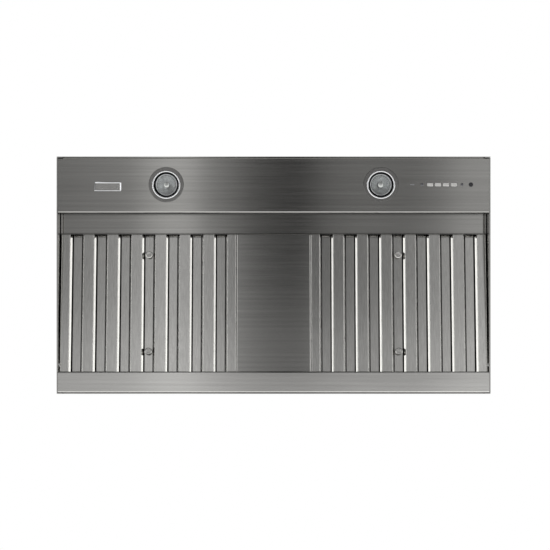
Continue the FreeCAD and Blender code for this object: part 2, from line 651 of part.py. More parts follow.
# ---- the lamps ----------------------------------------------------------------------------------
def lamp_bezel(x):
    """A pressed trim ring with a bright crest, a cone down to the lamp and a neck up into the can."""
    wall = BEZEL_SHEET
    face, back, front = PANEL_RISE, PANEL_RISE + wall, PANEL_RISE - BEZEL_EDGE
    neck, throat = LAMP_HOLE - BEZEL_PLAY, LAMP_FACE + LAMP_GAP
    crest_out, crest_in = BEZEL_RING + BEZEL_CREST, BEZEL_RING - BEZEL_CREST
    cone_top, neck_top = face + LAMP_RECESS + wall, face + BEZEL_NECK
    tube_top = cone_top + THROAT_LENGTH
    rim = [(crest_in, front + BEZEL_EDGE / 2), (throat, cone_top), (throat, tube_top),
           (throat + wall, tube_top), (throat + wall, cone_top), (crest_in + wall, back),
           (neck - wall, back), (neck - wall, neck_top), (neck, neck_top), (neck, face),
           (BEZEL_RADIUS, face), (BEZEL_RADIUS - BEZEL_EDGE, front), (crest_out, front)]
    crest = (rim[-1], (BEZEL_RING, face - BEZEL_PROUD), rim[0])
    return turned(closed(rim)[:-1] + [crest], Vec(x, CONTROL_Y, 0))


def lamp(x):
    """A reflector lamp: round face, dished reflector and a narrow base with two pins."""
    face = PANEL_RISE + LAMP_RECESS
    base = face + LAMP_LENGTH - LAMP_PIN
    shoulder, waist = face + 4, face + 0.55 * LAMP_LENGTH
    outline = [
        ((0, face), (LAMP_FACE, face)),
        ((LAMP_FACE, face), (LAMP_FACE, shoulder)),
        ((LAMP_FACE, shoulder), (LAMP_FACE * 0.86, (shoulder + waist) / 2 + 1.5), (LAMP_BASE, waist)),
        ((LAMP_BASE, waist), (LAMP_BASE, base)),
        ((LAMP_BASE, base), (0, base)),
        ((0, base), (0, face)),
    ]
    bulb = turned(outline, Vec(x, CONTROL_Y, 0))
    pins = []
    for side in (-1, 1):
        at = x + side * LAMP_PIN_SPACING / 2
        pins.append(rod(LAMP_PIN_RADIUS, Vec(at, CONTROL_Y, base - 0.5), Vec(at, CONTROL_Y, base + LAMP_PIN)))
    return bulb.fuse(pins)


def lamp_socket(x):
    """A ceramic block on the lamp's pins."""
    base = PANEL_RISE + LAMP_RECESS + LAMP_LENGTH - LAMP_PIN
    width, depth, height = SOCKET
    block = rounded_block((x, CONTROL_Y), (width, depth), SOCKET_CORNER, base, base + height)
    pins = [Vec(x + side * LAMP_PIN_SPACING / 2, CONTROL_Y, base) for side in (-1, 1)]
    return block.cut([drill(pin, UP, LAMP_PIN_RADIUS + SCREW_PLAY, LAMP_PIN + SCREW_PLAY) for pin in pins])


def lamp_can(x):
    """A drawn cup over the lamp, with a flange on the panel and a hole for the lead."""
    foot, top = PANEL_INSIDE, PANEL_RISE + CAN_HEIGHT
    wide, hole = LAMP_HOLE + CAN_CLEAR, LEAD_RADIUS + LEAD_HOLE_GAP
    flange, narrow, shoulder = wide + CAN_FLANGE, wide - CAN_TAPER[0], top - CAN_TAPER[1]
    outer = [(flange, foot), (flange, foot + GALV), (wide + GALV, foot + GALV), (wide + GALV, shoulder),
             (narrow, top), (hole, top)]
    inner = [(hole, top - GALV), (narrow - GALV / 2, top - GALV), (wide, shoulder - GALV / 2), (wide, foot)]
    return turned(closed(outer + inner), Vec(x, CONTROL_Y, 0))


# ---- the controls -------------------------------------------------------------------------------
def control_windows(low, high):
    """What the buttons and the indicator clear through the panel and the housing's floor."""
    window, corner = [side + 2 * BUTTON_GAP for side in BUTTON_SIZE], BUTTON_CORNER + BUTTON_GAP
    cuts = [rounded_block((x, CONTROL_Y), window, corner, low, high) for x in button_places()]
    start = Vec(LIGHT_BUTTON_X, CONTROL_Y, low)
    cuts.append(rod(LIGHT_BUTTON_RADIUS + BUTTON_GAP, start, start + UP * (high - low)))
    slot = [side + SCREW_PLAY for side in INDICATOR_SIZE]
    return cuts + [rounded_block((INDICATOR_X, CONTROL_Y), slot, INDICATOR_CORNER, low, high)]


def speed_button(x):
    """A rectangular push button: its cap, a flange that keeps it in and a stem to the switch."""
    face, floor = PANEL_RISE - BUTTON_PROUD, PANEL_INSIDE + HOUSING_FLOOR + BUTTON_SEAT
    cap = rounded_block((x, CONTROL_Y), BUTTON_SIZE, BUTTON_CORNER, face, floor + BUTTON_FLANGE)
    rim = [e for e in cap.Edges if abs(e.CenterOfMass.z - face) < 1e-6]
    cap = cap.makeFillet(BUTTON_EDGE, rim)
    wide = [side + 2 * BUTTON_FLANGE for side in BUTTON_SIZE]
    flange = rounded_block((x, CONTROL_Y), wide, BUTTON_CORNER, floor, floor + BUTTON_FLANGE)
    stem = rod(BUTTON_STEM, Vec(x, CONTROL_Y, floor), Vec(x, CONTROL_Y, stem_top()))
    return cap.fuse([flange, stem]).removeSplitter()


def light_button():
    """The round lamp button, built like the others."""
    face, floor = PANEL_RISE - BUTTON_PROUD, PANEL_INSIDE + HOUSING_FLOOR + BUTTON_SEAT
    radius, edge = LIGHT_BUTTON_RADIUS, BUTTON_EDGE
    wide, back = radius + BUTTON_FLANGE, floor + BUTTON_FLANGE
    outline = closed([
        (0, face), (radius - edge, face), (radius, face + edge), (radius, floor), (wide, floor), (wide, back),
        (BUTTON_STEM, back), (BUTTON_STEM, stem_top()), (0, stem_top()),
    ])
    return turned(outline, Vec(LIGHT_BUTTON_X, CONTROL_Y, 0))


def board_bottom():
    """The circuit board lies on the housing's walls."""
    return PANEL_INSIDE + SWITCH_HOUSING[2]


def stem_top():
    """A button's stem stops short of its switch by a little more than its travel."""
    return board_bottom() - SWITCH_BODY[1] - BUTTON_TRAVEL - BUTTON_SEAT


def indicator_lens():
    """A light bar beside the buttons, standing in the panel and the housing's floor."""
    low, high = PANEL_RISE - INDICATOR_PROUD, PANEL_INSIDE + HOUSING_FLOOR + HOUSING_WALL
    return rounded_block((INDICATOR_X, CONTROL_Y), INDICATOR_SIZE, INDICATOR_CORNER, low, high)


def switch_housing():
    """The moulded tray behind the panel that guides the buttons."""
    length, width, height = SWITCH_HOUSING
    low, high = PANEL_INSIDE, board_bottom()
    tray = rounded_block((HOUSING_X, CONTROL_Y), (length, width), HOUSING_CORNER, low, high)
    hollow = (length - 2 * HOUSING_WALL, width - 2 * HOUSING_WALL)
    floor, corner = low + HOUSING_FLOOR, HOUSING_CORNER - HOUSING_WALL / 2
    tray = tray.cut(rounded_block((HOUSING_X, CONTROL_Y), hollow, corner, floor, high + 1))
    posts = [rod(2 * SCREW_SHANK, Vec(p.x, p.y, low), Vec(p.x, p.y, high)) for p in control_screws()]
    tray = tray.fuse(posts).cut(control_windows(low - 1, floor + 1))
    return tray.cut([screw_hole(p, UP, 2 * height) for p in control_screws()])


def control_board():
    """The circuit board, with a push switch over each button and a relay and a terminal on top."""
    length, width, _ = SWITCH_HOUSING
    low = board_bottom()
    top = low + BOARD_THICK
    board = rounded_block((HOUSING_X, CONTROL_Y), (length, width), HOUSING_CORNER, low, top)
    side, height = SWITCH_BODY
    blocks = [(x, (side, side), low - height, low) for x in button_places() + [LIGHT_BUTTON_X]]
    blocks += [(x, RELAY, top, top + RELAY[2]) for x in button_places()]
    blocks.append((board_terminal_x(), BOARD_TERMINAL, top, top + BOARD_TERMINAL[2]))
    parts = []
    for x, size, z0, z1 in blocks:
        wide, deep = size[0] / 2, size[1] / 2
        parts.append(box(x - wide, x + wide, CONTROL_Y - deep, CONTROL_Y + deep, z0, z1))
    return board.fuse(parts)


def board_terminal_x():
    """The board's terminal is at the end nearer the lamps."""
    return HOUSING_X - SWITCH_HOUSING[0] / 2 + BOARD_TERMINAL[0] / 2 + HOUSING_WALL


# ---- the blower ---------------------------------------------------------------------------------
def scroll_line(out):
    """The scroll's section as (Y, Z) pieces, a distance outside its inner face, open at the top."""
    def spot(hub, radius, angle):
        return (hub[0] + radius * math.cos(angle), hub[1] + radius * math.sin(angle))
    half, right = SCROLL_STEP / 2, math.pi / 2
    y, z = WHEEL_Y, WHEEL_Z
    hubs = [(y - half, z + half), (y - half, z - half), (y + half, z - half), (y + half, z + half)]
    nose = spot(hubs[0], TONGUE_R + TONGUE_RADIUS, TONGUE)
    tip, back = TONGUE_RADIUS - out, TONGUE - math.pi
    pieces = [(spot(nose, tip, 0), spot(nose, tip, back / 2), spot(nose, tip, back))]
    start = TONGUE
    for i, hub in enumerate(hubs):
        radius, end = TONGUE_R + i * SCROLL_STEP + out, (i + 1) * right
        pieces.append(tuple(spot(hub, radius, angle) for angle in (start, (start + end) / 2, end)))
        start = end
    first, last = pieces[0][0], pieces[-1][-1]
    return [((first[0], SHELL_TOP), first)] + pieces + [(last, (last[0], SHELL_TOP))]


def scroll_wrap():
    """The curved sheet of the scroll. Its flanges are holed for the screws that come through the top panel."""
    inner, outer = scroll_line(0), scroll_line(GALV)
    caps = [(inner[0][0], outer[0][0]), (inner[-1][-1], outer[-1][-1])]
    wrap = extrude(inner + outer + caps, "X", -PLATE_X, PLATE_X)
    flanges = []
    for y0, y1 in ((inner[0][0][0] - FLANGE, inner[0][0][0]), (inner[-1][-1][0], inner[-1][-1][0] + FLANGE)):
        flanges.append(box(-PLATE_X, PLATE_X, y0, y1, SHELL_TOP - GALV, SHELL_TOP))
    wrap = wrap.fuse(flanges).removeSplitter()
    return wrap.cut([screw_hole(p, UP) for p in scroll_screws() + collar_screws()])


def scroll_screws():
    """Where screws hold the scroll's flanges to the top panel."""
    rows = (OUTLET_FRONT - FLANGE / 2, OUTLET_REAR + FLANGE / 2)
    return [Vec(x, y, BODY_HEIGHT) for x in (-PLATE_X / 2, PLATE_X / 2) for y in rows]


def scroll_side():
    """The right side plate, its edge just past the wrap, with an inlet bell rolled inwards."""
    outer = scroll_line(GALV + SEAM_EDGE)
    rim = outer + [(outer[-1][-1], outer[0][0])]
    plate = extrude(rim, "X", PLATE_X, PLATE_X + GALV)
    mouth = INLET_RADIUS + BELL_RADIUS
    centre = Vec(0, WHEEL_Y, WHEEL_Z)
    plate = plate.cut(drill(centre, ALONG_X, mouth, SCROLL_WIDTH))
    out, back = PLATE_X + GALV, PLATE_X + GALV - BELL_RADIUS
    lean = math.sqrt(0.5)
    inner = BELL_RADIUS - GALV
    bell = [
        ((mouth, out), (mouth - BELL_RADIUS * lean, back + BELL_RADIUS * lean), (INLET_RADIUS, back)),
        ((INLET_RADIUS, back), (INLET_RADIUS + GALV, back)),
        ((INLET_RADIUS + GALV, back), (mouth - inner * lean, back + inner * lean), (mouth, PLATE_X)),
        ((mouth, PLATE_X), (mouth, out)),
    ]
    side = plate.fuse(turned(bell, centre, "X")).removeSplitter()
    flange = box(PLATE_X, PLATE_X + FLANGE, OUTLET_FRONT, OUTLET_REAR, SHELL_TOP - GALV, SHELL_TOP)
    return side.fuse(flange).removeSplitter()


def blower_wheel():
    """A double-inlet wheel: forward-curved blades between two end rings, on a disc and a hub."""
    root, tip = WHEEL_RADIUS - BLADE_DEPTH, WHEEL_RADIUS - BLADE_THICK / 2
    sweep = math.radians(BLADE_SWEEP)
    step = BLADE_THICK / WHEEL_RADIUS

    def spot(radius, angle):
        return (radius * math.cos(angle), radius * math.sin(angle))
    middle = (root + tip) / 2
    near = [spot(root, 0), spot(middle, sweep / 4), spot(tip, sweep)]
    far = [spot(root, step), spot(middle, step + sweep / 4), spot(tip, sweep + step)]
    section = [tuple(near), tuple(far), (near[0], far[0]), (near[2], far[2])]
    half = WHEEL_WIDTH / 2
    blade = extrude(section, "X", -half, half)
    blades = []
    for i in range(BLADE_COUNT):
        copy = blade.copy()
        copy.rotate(Vec(0, 0, 0), ALONG_X, 360 / BLADE_COUNT * i)
        blades.append(copy)
    ring = washer(root, WHEEL_RADIUS, half - RING_THICK, half)
    disc = washer(HUB_RADIUS - BLADE_THICK, tip, -DISC_THICK / 2, DISC_THICK / 2)
    hub = washer(SHAFT_RADIUS, HUB_RADIUS, -HUB_LENGTH / 2, HUB_LENGTH / 2)
    wheel = disc.fuse([ring, mirrored(ring), hub] + blades)
    wheel.translate(Vec(0, WHEEL_Y, WHEEL_Z))
    return wheel


def motor_shaft():
    """The shaft from the wheel's hub into the motor."""
    start = Vec(-HUB_LENGTH / 2 - SHAFT_END, WHEEL_Y, WHEEL_Z)
    end = Vec(MOTOR_X + SHAFT_IN_MOTOR, WHEEL_Y, WHEEL_Z)
    return rod(SHAFT_RADIUS, start, end)


def motor():
    """The motor: a ribbed body with domed end bells and a bearing boss, bored for its shaft."""
    bore, boss = SHAFT_RADIUS + SHAFT_PLAY, SHAFT_RADIUS + BOSS_WALL
    bell, third = MOTOR_RADIUS - BELL_STEP, BELL_LENGTH / 3
    dome = bell - 1.5 * third
    profile = [(boss, 0), (boss, third), (dome, third), (bell, 2 * third), (bell, BELL_LENGTH),
               (MOTOR_RADIUS, BELL_LENGTH)]
    near = [(radius, MOTOR_X + along) for radius, along in profile]
    far = [(radius, MOTOR_X + MOTOR_LENGTH - along) for radius, along in reversed(profile)]
    shaft_stop = MOTOR_X + SHAFT_IN_MOTOR + SHAFT_END
    closing = [(0, MOTOR_X + MOTOR_LENGTH), (0, shaft_stop), (bore, shaft_stop), (bore, MOTOR_X)]
    return turned(closed(near + far + closing), Vec(0, WHEEL_Y, WHEEL_Z), "X")


def motor_bracket():
    """A clamp band round the motor, with three bent arms to the side plate."""
    band_x = MOTOR_X + MOTOR_LENGTH / 2
    inner = MOTOR_RADIUS + SCREW_PLAY
    outer = inner + ARM_THICK
    band = washer(inner, outer, band_x - ARM_WIDTH / 2, band_x + ARM_WIDTH / 2)
    leg, foot = INLET_RADIUS + BELL_RADIUS + ARM_CLEAR, PLATE_X + GALV
    line = [(foot, leg + ARM_FOOT), (foot, leg), (band_x, leg), (band_x, outer - ARM_THICK / 2)]
    arms = []
    for i in range(ARM_COUNT):
        arm = folded(line, ARM_THICK, "Y", -ARM_WIDTH / 2, ARM_WIDTH / 2, ARM_THICK)
        arm.rotate(Vec(0, 0, 0), ALONG_X, ARM_ANGLE + 360 / ARM_COUNT * i)
        arms.append(arm)
    bracket = band.fuse(arms).removeSplitter()
    bracket.translate(Vec(0, WHEEL_Y, WHEEL_Z))
    return bracket


def capacitor():
    """The motor's run capacitor, on the side plate by its stud and nut."""
    radius, length = CAPACITOR
    post, post_height = CAPACITOR_TERMINALS
    base, top, edge = PLATE_X + GALV, PLATE_X + GALV + length, STUD_RADIUS / 4
    stud, nut, nut_wide = base - STUD_LENGTH, PLATE_X - NUT_THICK, 2 * STUD_RADIUS
    outline = closed([
        (0, stud), (STUD_RADIUS, stud), (STUD_RADIUS, nut), (nut_wide, nut), (nut_wide, PLATE_X),
        (STUD_RADIUS, PLATE_X), (STUD_RADIUS, base), (radius - edge, base), (radius, base + edge),
        (radius, top - edge), (radius - edge, top), (post, top), (post, top + post_height),
        (0, top + post_height),
    ])
    return turned(outline, capacitor_place(), "X")


def capacitor_place():
    """The capacitor's axis, outside the inlet."""
    angle = math.radians(CAPACITOR_ANGLE)
    reach = INLET_RADIUS + BELL_RADIUS + CAPACITOR[0] + CAPACITOR_CLEAR
    return Vec(0, WHEEL_Y + reach * math.cos(angle), WHEEL_Z + reach * math.sin(angle))


def motor_side():
    """The left plate is the right one mirrored; the right one also has the capacitor's hole."""
    place = capacitor_place() + ALONG_X * PLATE_X
    return scroll_side().cut(drill(place, ALONG_X, STUD_RADIUS + SCREW_PLAY))


# ---- the outlet ---------------------------------------------------------------------------------
def duct_collar():
    """The round collar: a flange on the top panel, a rolled bead, and two stops under the flaps."""
    inner, outer, base = COLLAR_INSIDE, COLLAR_RADIUS, BODY_HEIGHT
    sheet, top = base + COLLAR_SHEET, base + COLLAR_HEIGHT
    low, mid, high = (base + COLLAR_BEAD_Z + side * 2 * COLLAR_BEAD for side in (-1, 0, 1))
    wide = outer + COLLAR_FLANGE
    outline = [
        ((inner, base), (wide, base)), ((wide, base), (wide, sheet)), ((wide, sheet), (outer, sheet)),
        ((outer, sheet), (outer, low)), ((outer, low), (outer + COLLAR_BEAD, mid), (outer, high)),
        ((outer, high), (outer, top)), ((outer, top), (inner, top)), ((inner, top), (inner, high)),
        ((inner, high), (inner + COLLAR_BEAD, mid), (inner, low)), ((inner, low), (inner, base)),
    ]
    collar = turned(outline, Vec(0, DUCT_Y, 0))
    stop_top, half = ROD_Z - FLAP_THICK / 2 - SEAM_PLAY, DAMPER_STOP[0] / 2
    stops = []
    for side in (-1, 1):
        ends = [DUCT_Y + side * (inner - DAMPER_STOP[1]), DUCT_Y + side * (inner + COLLAR_SHEET / 2)]
        stops.append(box(-half, half, min(ends), max(ends), stop_top - COLLAR_SHEET, stop_top))
    collar = collar.fuse(stops)
    bore = drill(Vec(0, DUCT_Y, ROD_Z), ALONG_X, ROD_RADIUS + SCREW_PLAY, wide)
    return collar.cut([bore] + [screw_hole(p, UP) for p in collar_screws()])


def damper_rod():
    """The rod across the collar that both flaps hang on, flush with the collar's outside."""
    reach = COLLAR_RADIUS - SCREW_PLAY
    return rod(ROD_RADIUS, Vec(-reach, DUCT_Y, ROD_Z), Vec(reach, DUCT_Y, ROD_Z))


def damper_flap(side):
    """A half-round flap with knuckles round the rod. The two flaps' knuckles alternate."""
    radius = COLLAR_INSIDE - FLAP_CLEAR
    start = KNUCKLE_RADIUS + FLAP_THICK
    low, high = -FLAP_THICK / 2, FLAP_THICK / 2
    disc = Part.makeCylinder(radius, FLAP_THICK, Vec(0, 0, low))
    flap = disc.common(box(-radius, radius, start, radius, low, high))
    pitch = KNUCKLE_LENGTH + KNUCKLE_GAP
    count = int(2 * (radius - start) / pitch)
    bore = ROD_RADIUS + ROD_PLAY
    for i in range(count):
        if i % 2 == (side > 0):
            continue
        x0 = (i - count / 2) * pitch + KNUCKLE_GAP / 2
        x1 = x0 + KNUCKLE_LENGTH
        knuckle = rod(KNUCKLE_RADIUS, Vec(x0, 0, 0), Vec(x1, 0, 0))
        leaf = box(x0, x1, bore + FLAP_THICK / 2, start + 1, low, high)
        flap = flap.fuse([knuckle, leaf])
    flap = flap.cut(rod(bore, Vec(-radius, 0, 0), Vec(radius, 0, 0))).removeSplitter()
    if side < 0:
        flap = mirrored(flap, ALONG_Y)
    flap.translate(Vec(0, DUCT_Y, ROD_Z))
    return flap


# ---- the wiring ---------------------------------------------------------------------------------
def junction_box():
    """A wiring box under the top panel, open below, with a hole for the cable clamp and two for leads."""
    width, depth, height = BOX_SIZE
    x, y = BOX_AT
    low = SHELL_TOP - height
    shell = box(x - width / 2, x + width / 2, y - depth / 2, y + depth / 2, low, SHELL_TOP)
    inside = box(x - width / 2 + GALV, x + width / 2 - GALV, y - depth / 2 + GALV, y + depth / 2 - GALV,
                 low - 1, SHELL_TOP - GALV)
    shell = shell.cut(inside)
    holes = [drill(Vec(x, y, SHELL_TOP), UP, CLAMP_RADIUS + SCREW_PLAY)]
    holes += [screw_hole(p, UP) for p in box_screws()]
    holes.append(lead_hole(Vec(control_lead_hole()[0], y - depth / 2, lead_height()), ALONG_Y))
    holes.append(lead_hole(Vec(x - width / 2, y, lead_height()), ALONG_X))
    return shell.cut(holes)


def lead_height():
    """Leads enter the junction box at its middle."""
    return SHELL_TOP - BOX_SIZE[2] / 2


def junction_box_cover():
    """A lid over the junction box's open side."""
    width, depth, height = BOX_SIZE
    x, y = BOX_AT
    low = SHELL_TOP - height - GALV
    half = width / 2 + 1.5 * GALV
    line = [(x - half, low + FLANGE), (x - half, low), (x + half, low), (x + half, low + FLANGE)]
    return folded(line, GALV, "Y", y - depth / 2, y + depth / 2, GALV / 2)


def terminal_block():
    """A strip of terminals inside the junction box, on its rear wall."""
    x, y = BOX_AT
    rear = y + BOX_SIZE[1] / 2 - GALV
    width, depth, height = TERMINALS
    low = lead_height() - height / 2
    block = box(x - width / 2, x + width / 2, rear - depth, rear, low, low + height)
    pitch = width / TERMINAL_COUNT
    for i in range(TERMINAL_COUNT):
        mouth = Vec(x - width / 2 + (i + 0.5) * pitch, rear - depth, lead_height())
        block = block.cut(drill(mouth, ALONG_Y, pitch * 0.3, TERMINAL_DEPTH))
    return block


def cable_clamp():
    """The threaded connector through the top panel that a supply cable comes in by."""
    top = BODY_HEIGHT + CLAMP_LENGTH - GALV - STEEL
    low = SHELL_TOP - GALV
    wide, nut, edge = CLAMP_RADIUS + CLAMP_NUT[0], CLAMP_NUT[1], (CLAMP_RADIUS - CLAMP_BORE) / 2
    outline = closed([
        (CLAMP_BORE, low - nut), (wide, low - nut), (wide, low), (CLAMP_RADIUS, low),
        (CLAMP_RADIUS, BODY_HEIGHT),
        (wide, BODY_HEIGHT), (wide, BODY_HEIGHT + nut), (CLAMP_RADIUS, BODY_HEIGHT + nut + edge),
        (CLAMP_RADIUS, top - edge), (CLAMP_RADIUS - edge, top), (CLAMP_BORE, top),
    ])
    return turned(outline, Vec(*BOX_AT, 0))


def control_lead_hole():
    """Where the control lead passes up through the compartment's cover."""
    return (board_terminal_x(), CONTROL_Y + LEAD_LANE)


def wiring():
    """The leads: board to junction box, motor to junction box, and board to each lamp."""
    x, y = control_lead_hole()
    box_x, box_y = BOX_AT
    z = lead_height()
    terminals = box_y + BOX_SIZE[1] / 2 - GALV - TERMINALS[1]
    board_top = board_bottom() + BOARD_THICK + BOARD_TERMINAL[2]
    run_z = COVER_HEIGHT - GALV - LEAD_CLEAR - LEAD_RADIUS
    motor_end, motor_y = MOTOR_X + MOTOR_LENGTH - BELL_LENGTH / 3, WHEEL_Y + MOTOR_RADIUS / 2
    socket_top = PANEL_RISE + LAMP_RECESS + LAMP_LENGTH - LAMP_PIN + SOCKET[2]
    motor_turn, aside = motor_end + LEAD_BEND[0], -LAMP_X + LEAD_BEND[1]
    second_x, second_y = x + LEAD_LANE, CONTROL_Y - LEAD_LANE
    block_x = box_x - 2 * LEAD_LANE
    routes = [
        [(x, y, board_top), (x, y, z), (x, terminals, z)],
        [(motor_end, motor_y, WHEEL_Z), (motor_turn, motor_y, WHEEL_Z), (motor_turn, box_y, z),
         (block_x, box_y, z), (block_x, terminals, z)],
        [(-LAMP_X, CONTROL_Y, socket_top), (-LAMP_X, CONTROL_Y, run_z), (aside, second_y, run_z),
         (second_x, second_y, run_z), (second_x, second_y, board_top)],
        [(LAMP_X, CONTROL_Y, socket_top), (LAMP_X, CONTROL_Y, run_z), (x, CONTROL_Y, run_z),
         (x, CONTROL_Y, board_top)],
    ]
    return Part.makeCompound([tube(route, LEAD_RADIUS) for route in routes])


# ---- all the pieces -----------------------------------------------------------------------------
def all_parts():
    """Every piece by its name."""
    parts = {
        "side_panel_right": side_panel(),
        "side_panel_left": mirrored(side_panel()),
        "front_wall": end_wall(),
        "rear_wall": mirrored(end_wall(), ALONG_Y),
        "top_panel": top_panel(),
        "control_panel": control_panel(),
        "filter_ledge": filter_ledge(),
        "compartment_cover": compartment_cover(),
        "centre_panel": centre_panel(),
        "grease_trough": grease_trough(),
        "trough_ends": trough_ends(),
        "filter_stops": filter_stops(),
        "light_button": light_button(),
        "indicator_lens": indicator_lens(),
        "switch_housing": switch_housing(),
        "control_board": control_board(),
        "control_screws": Part.makeCompound([screw_at(p, UP, SWITCH_HOUSING[2]) for p in control_screws()]),
        "scroll_wrap": scroll_wrap(),
        "scroll_side_left": mirrored(scroll_side()),
        "scroll_side_right": motor_side(),
        "blower_wheel": blower_wheel(),
        "motor_shaft": motor_shaft(),
        "motor": motor(),
        "motor_bracket": motor_bracket(),
        "capacitor": capacitor(),
        "duct_collar": duct_collar(),
        "damper_rod": damper_rod(),
        "damper_flap_front": damper_flap(-1),
        "damper_flap_rear": damper_flap(1),
        "junction_box": junction_box(),
        "junction_box_cover": junction_box_cover(),
        "terminal_block": terminal_block(),
        "cable_clamp": cable_clamp(),
        "wiring": wiring(),
    }
    places = collar_screws() + box_screws() + scroll_screws()
    parts["top_screws"] = Part.makeCompound([screw_at(p, -UP) for p in places])
    for i, x in enumerate(button_places()):
        parts[f"speed_button_{i + 1}"] = speed_button(x)
    for name, side in (("left", -1), ("right", 1)):
        parts[f"filter_frame_{name}"] = filter_frame(side * FILTER_X)
        parts[f"lower_baffles_{name}"] = lower_baffles(side * FILTER_X)
        parts[f"upper_baffles_{name}"] = upper_baffles(side * FILTER_X)
        parts[f"filter_knobs_{name}"] = filter_knobs(side * FILTER_X)
        parts[f"lamp_bezel_{name}"] = lamp_bezel(side * LAMP_X)
        parts[f"lamp_{name}"] = lamp(side * LAMP_X)
        parts[f"lamp_can_{name}"] = lamp_can(side * LAMP_X)
        parts[f"lamp_socket_{name}"] = lamp_socket(side * LAMP_X)
    return parts


os.makedirs("parts", exist_ok=True)
for name, shape in all_parts().items():
    shape.exportStep(f"parts/{name}.step")
    span = shape.BoundBox
    sides = " x ".join(f"{side:.1f}" for side in (span.XLength, span.YLength, span.ZLength))
    print(f"{name}: {len(shape.Solids)} solid(s), {sides} mm")
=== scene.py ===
# %% [markdown]
# # A stainless range hood insert, seen from below
# The insert is a sheet-metal liner that hangs in a cabinet over a cooktop. Its solids are
# already made, at real size, so this lesson only dresses them: it sets the view and the light,
# gives every sheet, casting and moulding its finish, and adds the few small pieces that are
# easier to make as meshes, such as the lamps' faces.

# %% Load the solids
import math

import bmesh
import bpy
from mathutils import Matrix, Vector


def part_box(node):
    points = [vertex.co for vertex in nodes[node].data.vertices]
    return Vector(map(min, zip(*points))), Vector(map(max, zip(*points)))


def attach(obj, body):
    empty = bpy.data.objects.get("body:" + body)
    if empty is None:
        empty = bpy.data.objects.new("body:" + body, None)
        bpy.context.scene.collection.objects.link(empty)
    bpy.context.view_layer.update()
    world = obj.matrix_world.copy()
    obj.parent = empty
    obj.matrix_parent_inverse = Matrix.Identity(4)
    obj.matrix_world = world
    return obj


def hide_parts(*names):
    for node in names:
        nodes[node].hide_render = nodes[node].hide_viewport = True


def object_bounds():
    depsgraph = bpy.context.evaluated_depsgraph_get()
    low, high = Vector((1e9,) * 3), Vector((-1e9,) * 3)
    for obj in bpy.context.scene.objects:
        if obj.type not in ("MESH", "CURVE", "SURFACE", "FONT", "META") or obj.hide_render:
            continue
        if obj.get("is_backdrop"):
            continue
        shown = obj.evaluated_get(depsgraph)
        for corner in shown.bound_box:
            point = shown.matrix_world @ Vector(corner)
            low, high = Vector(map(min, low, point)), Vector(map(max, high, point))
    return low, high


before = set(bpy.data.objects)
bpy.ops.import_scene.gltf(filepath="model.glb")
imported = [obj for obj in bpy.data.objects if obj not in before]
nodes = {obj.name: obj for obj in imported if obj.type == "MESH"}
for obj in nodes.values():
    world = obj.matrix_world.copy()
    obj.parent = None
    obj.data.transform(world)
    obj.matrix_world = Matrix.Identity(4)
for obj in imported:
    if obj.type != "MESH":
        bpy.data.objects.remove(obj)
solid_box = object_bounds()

print(len(nodes), "solids; the box is", [round(side, 3) for side in solid_box[1] - solid_box[0]], "m")

# %% [markdown]
# ## Sizes
# Everything is in metres, but a sheet-metal worker thinks in millimetres, so one constant turns
# them. The insert's own sizes are read from its solids: the places of the lamps, the panel and
# the rim then stay right if a solid changes.

# %% Sizes read from the solids
MM = 0.001

lowest, highest = solid_box
width, depth = (highest - lowest).xy
panel_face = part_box("control_panel")[0].z
lamp_boxes = {side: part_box(f"lamp_{side}") for side in ("left", "right")}
print(f"rim {width:.3f} x {depth:.3f} m, control panel {panel_face / MM:.1f} mm above the rim")

# %% [markdown]
# ## Camera
# The picture was taken from straight below, as a cook would see the hood when lying on the
# cooktop. A long lens far away keeps the baffles nearly parallel, and the little perspective
# that is left shows the inner faces of the side walls and the flanges of the baffles.

# %% The camera below the insert
PICTURE = 550               # pixels across the square picture
PICTURE_CENTRE = (273.6, 275.2)   # pixel that the middle of the rim falls on
PIXEL = 2.364 * MM          # size of a pixel at the rim
CAMERA_DISTANCE = 3.6
SENSOR = 36.0               # millimetres across, on the camera's own scale


def at_pixel(column, row, z=0.0):
    """The point of the insert at a pixel of the picture and a height above the rim."""
    spread = PIXEL * (CAMERA_DISTANCE + z) / CAMERA_DISTANCE
    middle = PICTURE / 2
    x = (middle - PICTURE_CENTRE[0]) * PIXEL + (column - middle) * spread
    y = (middle - PICTURE_CENTRE[1]) * PIXEL + (row - middle) * spread
    return Vector((x, y, z))


camera = bpy.data.objects.new("camera", bpy.data.cameras.new("camera"))
camera.location = at_pixel(PICTURE / 2, PICTURE / 2) - Vector((0, 0, CAMERA_DISTANCE))
camera.rotation_euler = (math.pi, 0, 0)
camera.data.sensor_width = SENSOR
camera.data.lens = SENSOR * CAMERA_DISTANCE / (PICTURE * PIXEL)
camera.data.clip_end = 50.0
bpy.context.scene.collection.objects.link(camera)
bpy.context.scene.camera = camera
bpy.context.scene.view_settings.view_transform = "Standard"
print(f"lens {camera.data.lens:.1f} mm, camera at {tuple(round(c, 4) for c in camera.location)}")

# %% [markdown]
# ## Colours and nodes
# Finishes are written as sRGB hex values, the way a paint card gives them. The renderer works
# with linear light, so one function turns them. A second function adds a shader node, with its
# settings and with a value or a link for each socket: every finish below is built with it.

# %% Two small helpers


def colour(hex_value):
    """An sRGB hex value as linear light."""
    channels = [int(hex_value[i:i + 2], 16) / 255 for i in (1, 3, 5)]
    linear = [c / 12.92 if c <= 0.04045 else ((c + 0.055) / 1.055) ** 2.4 for c in channels]
    return (*linear, 1.0)


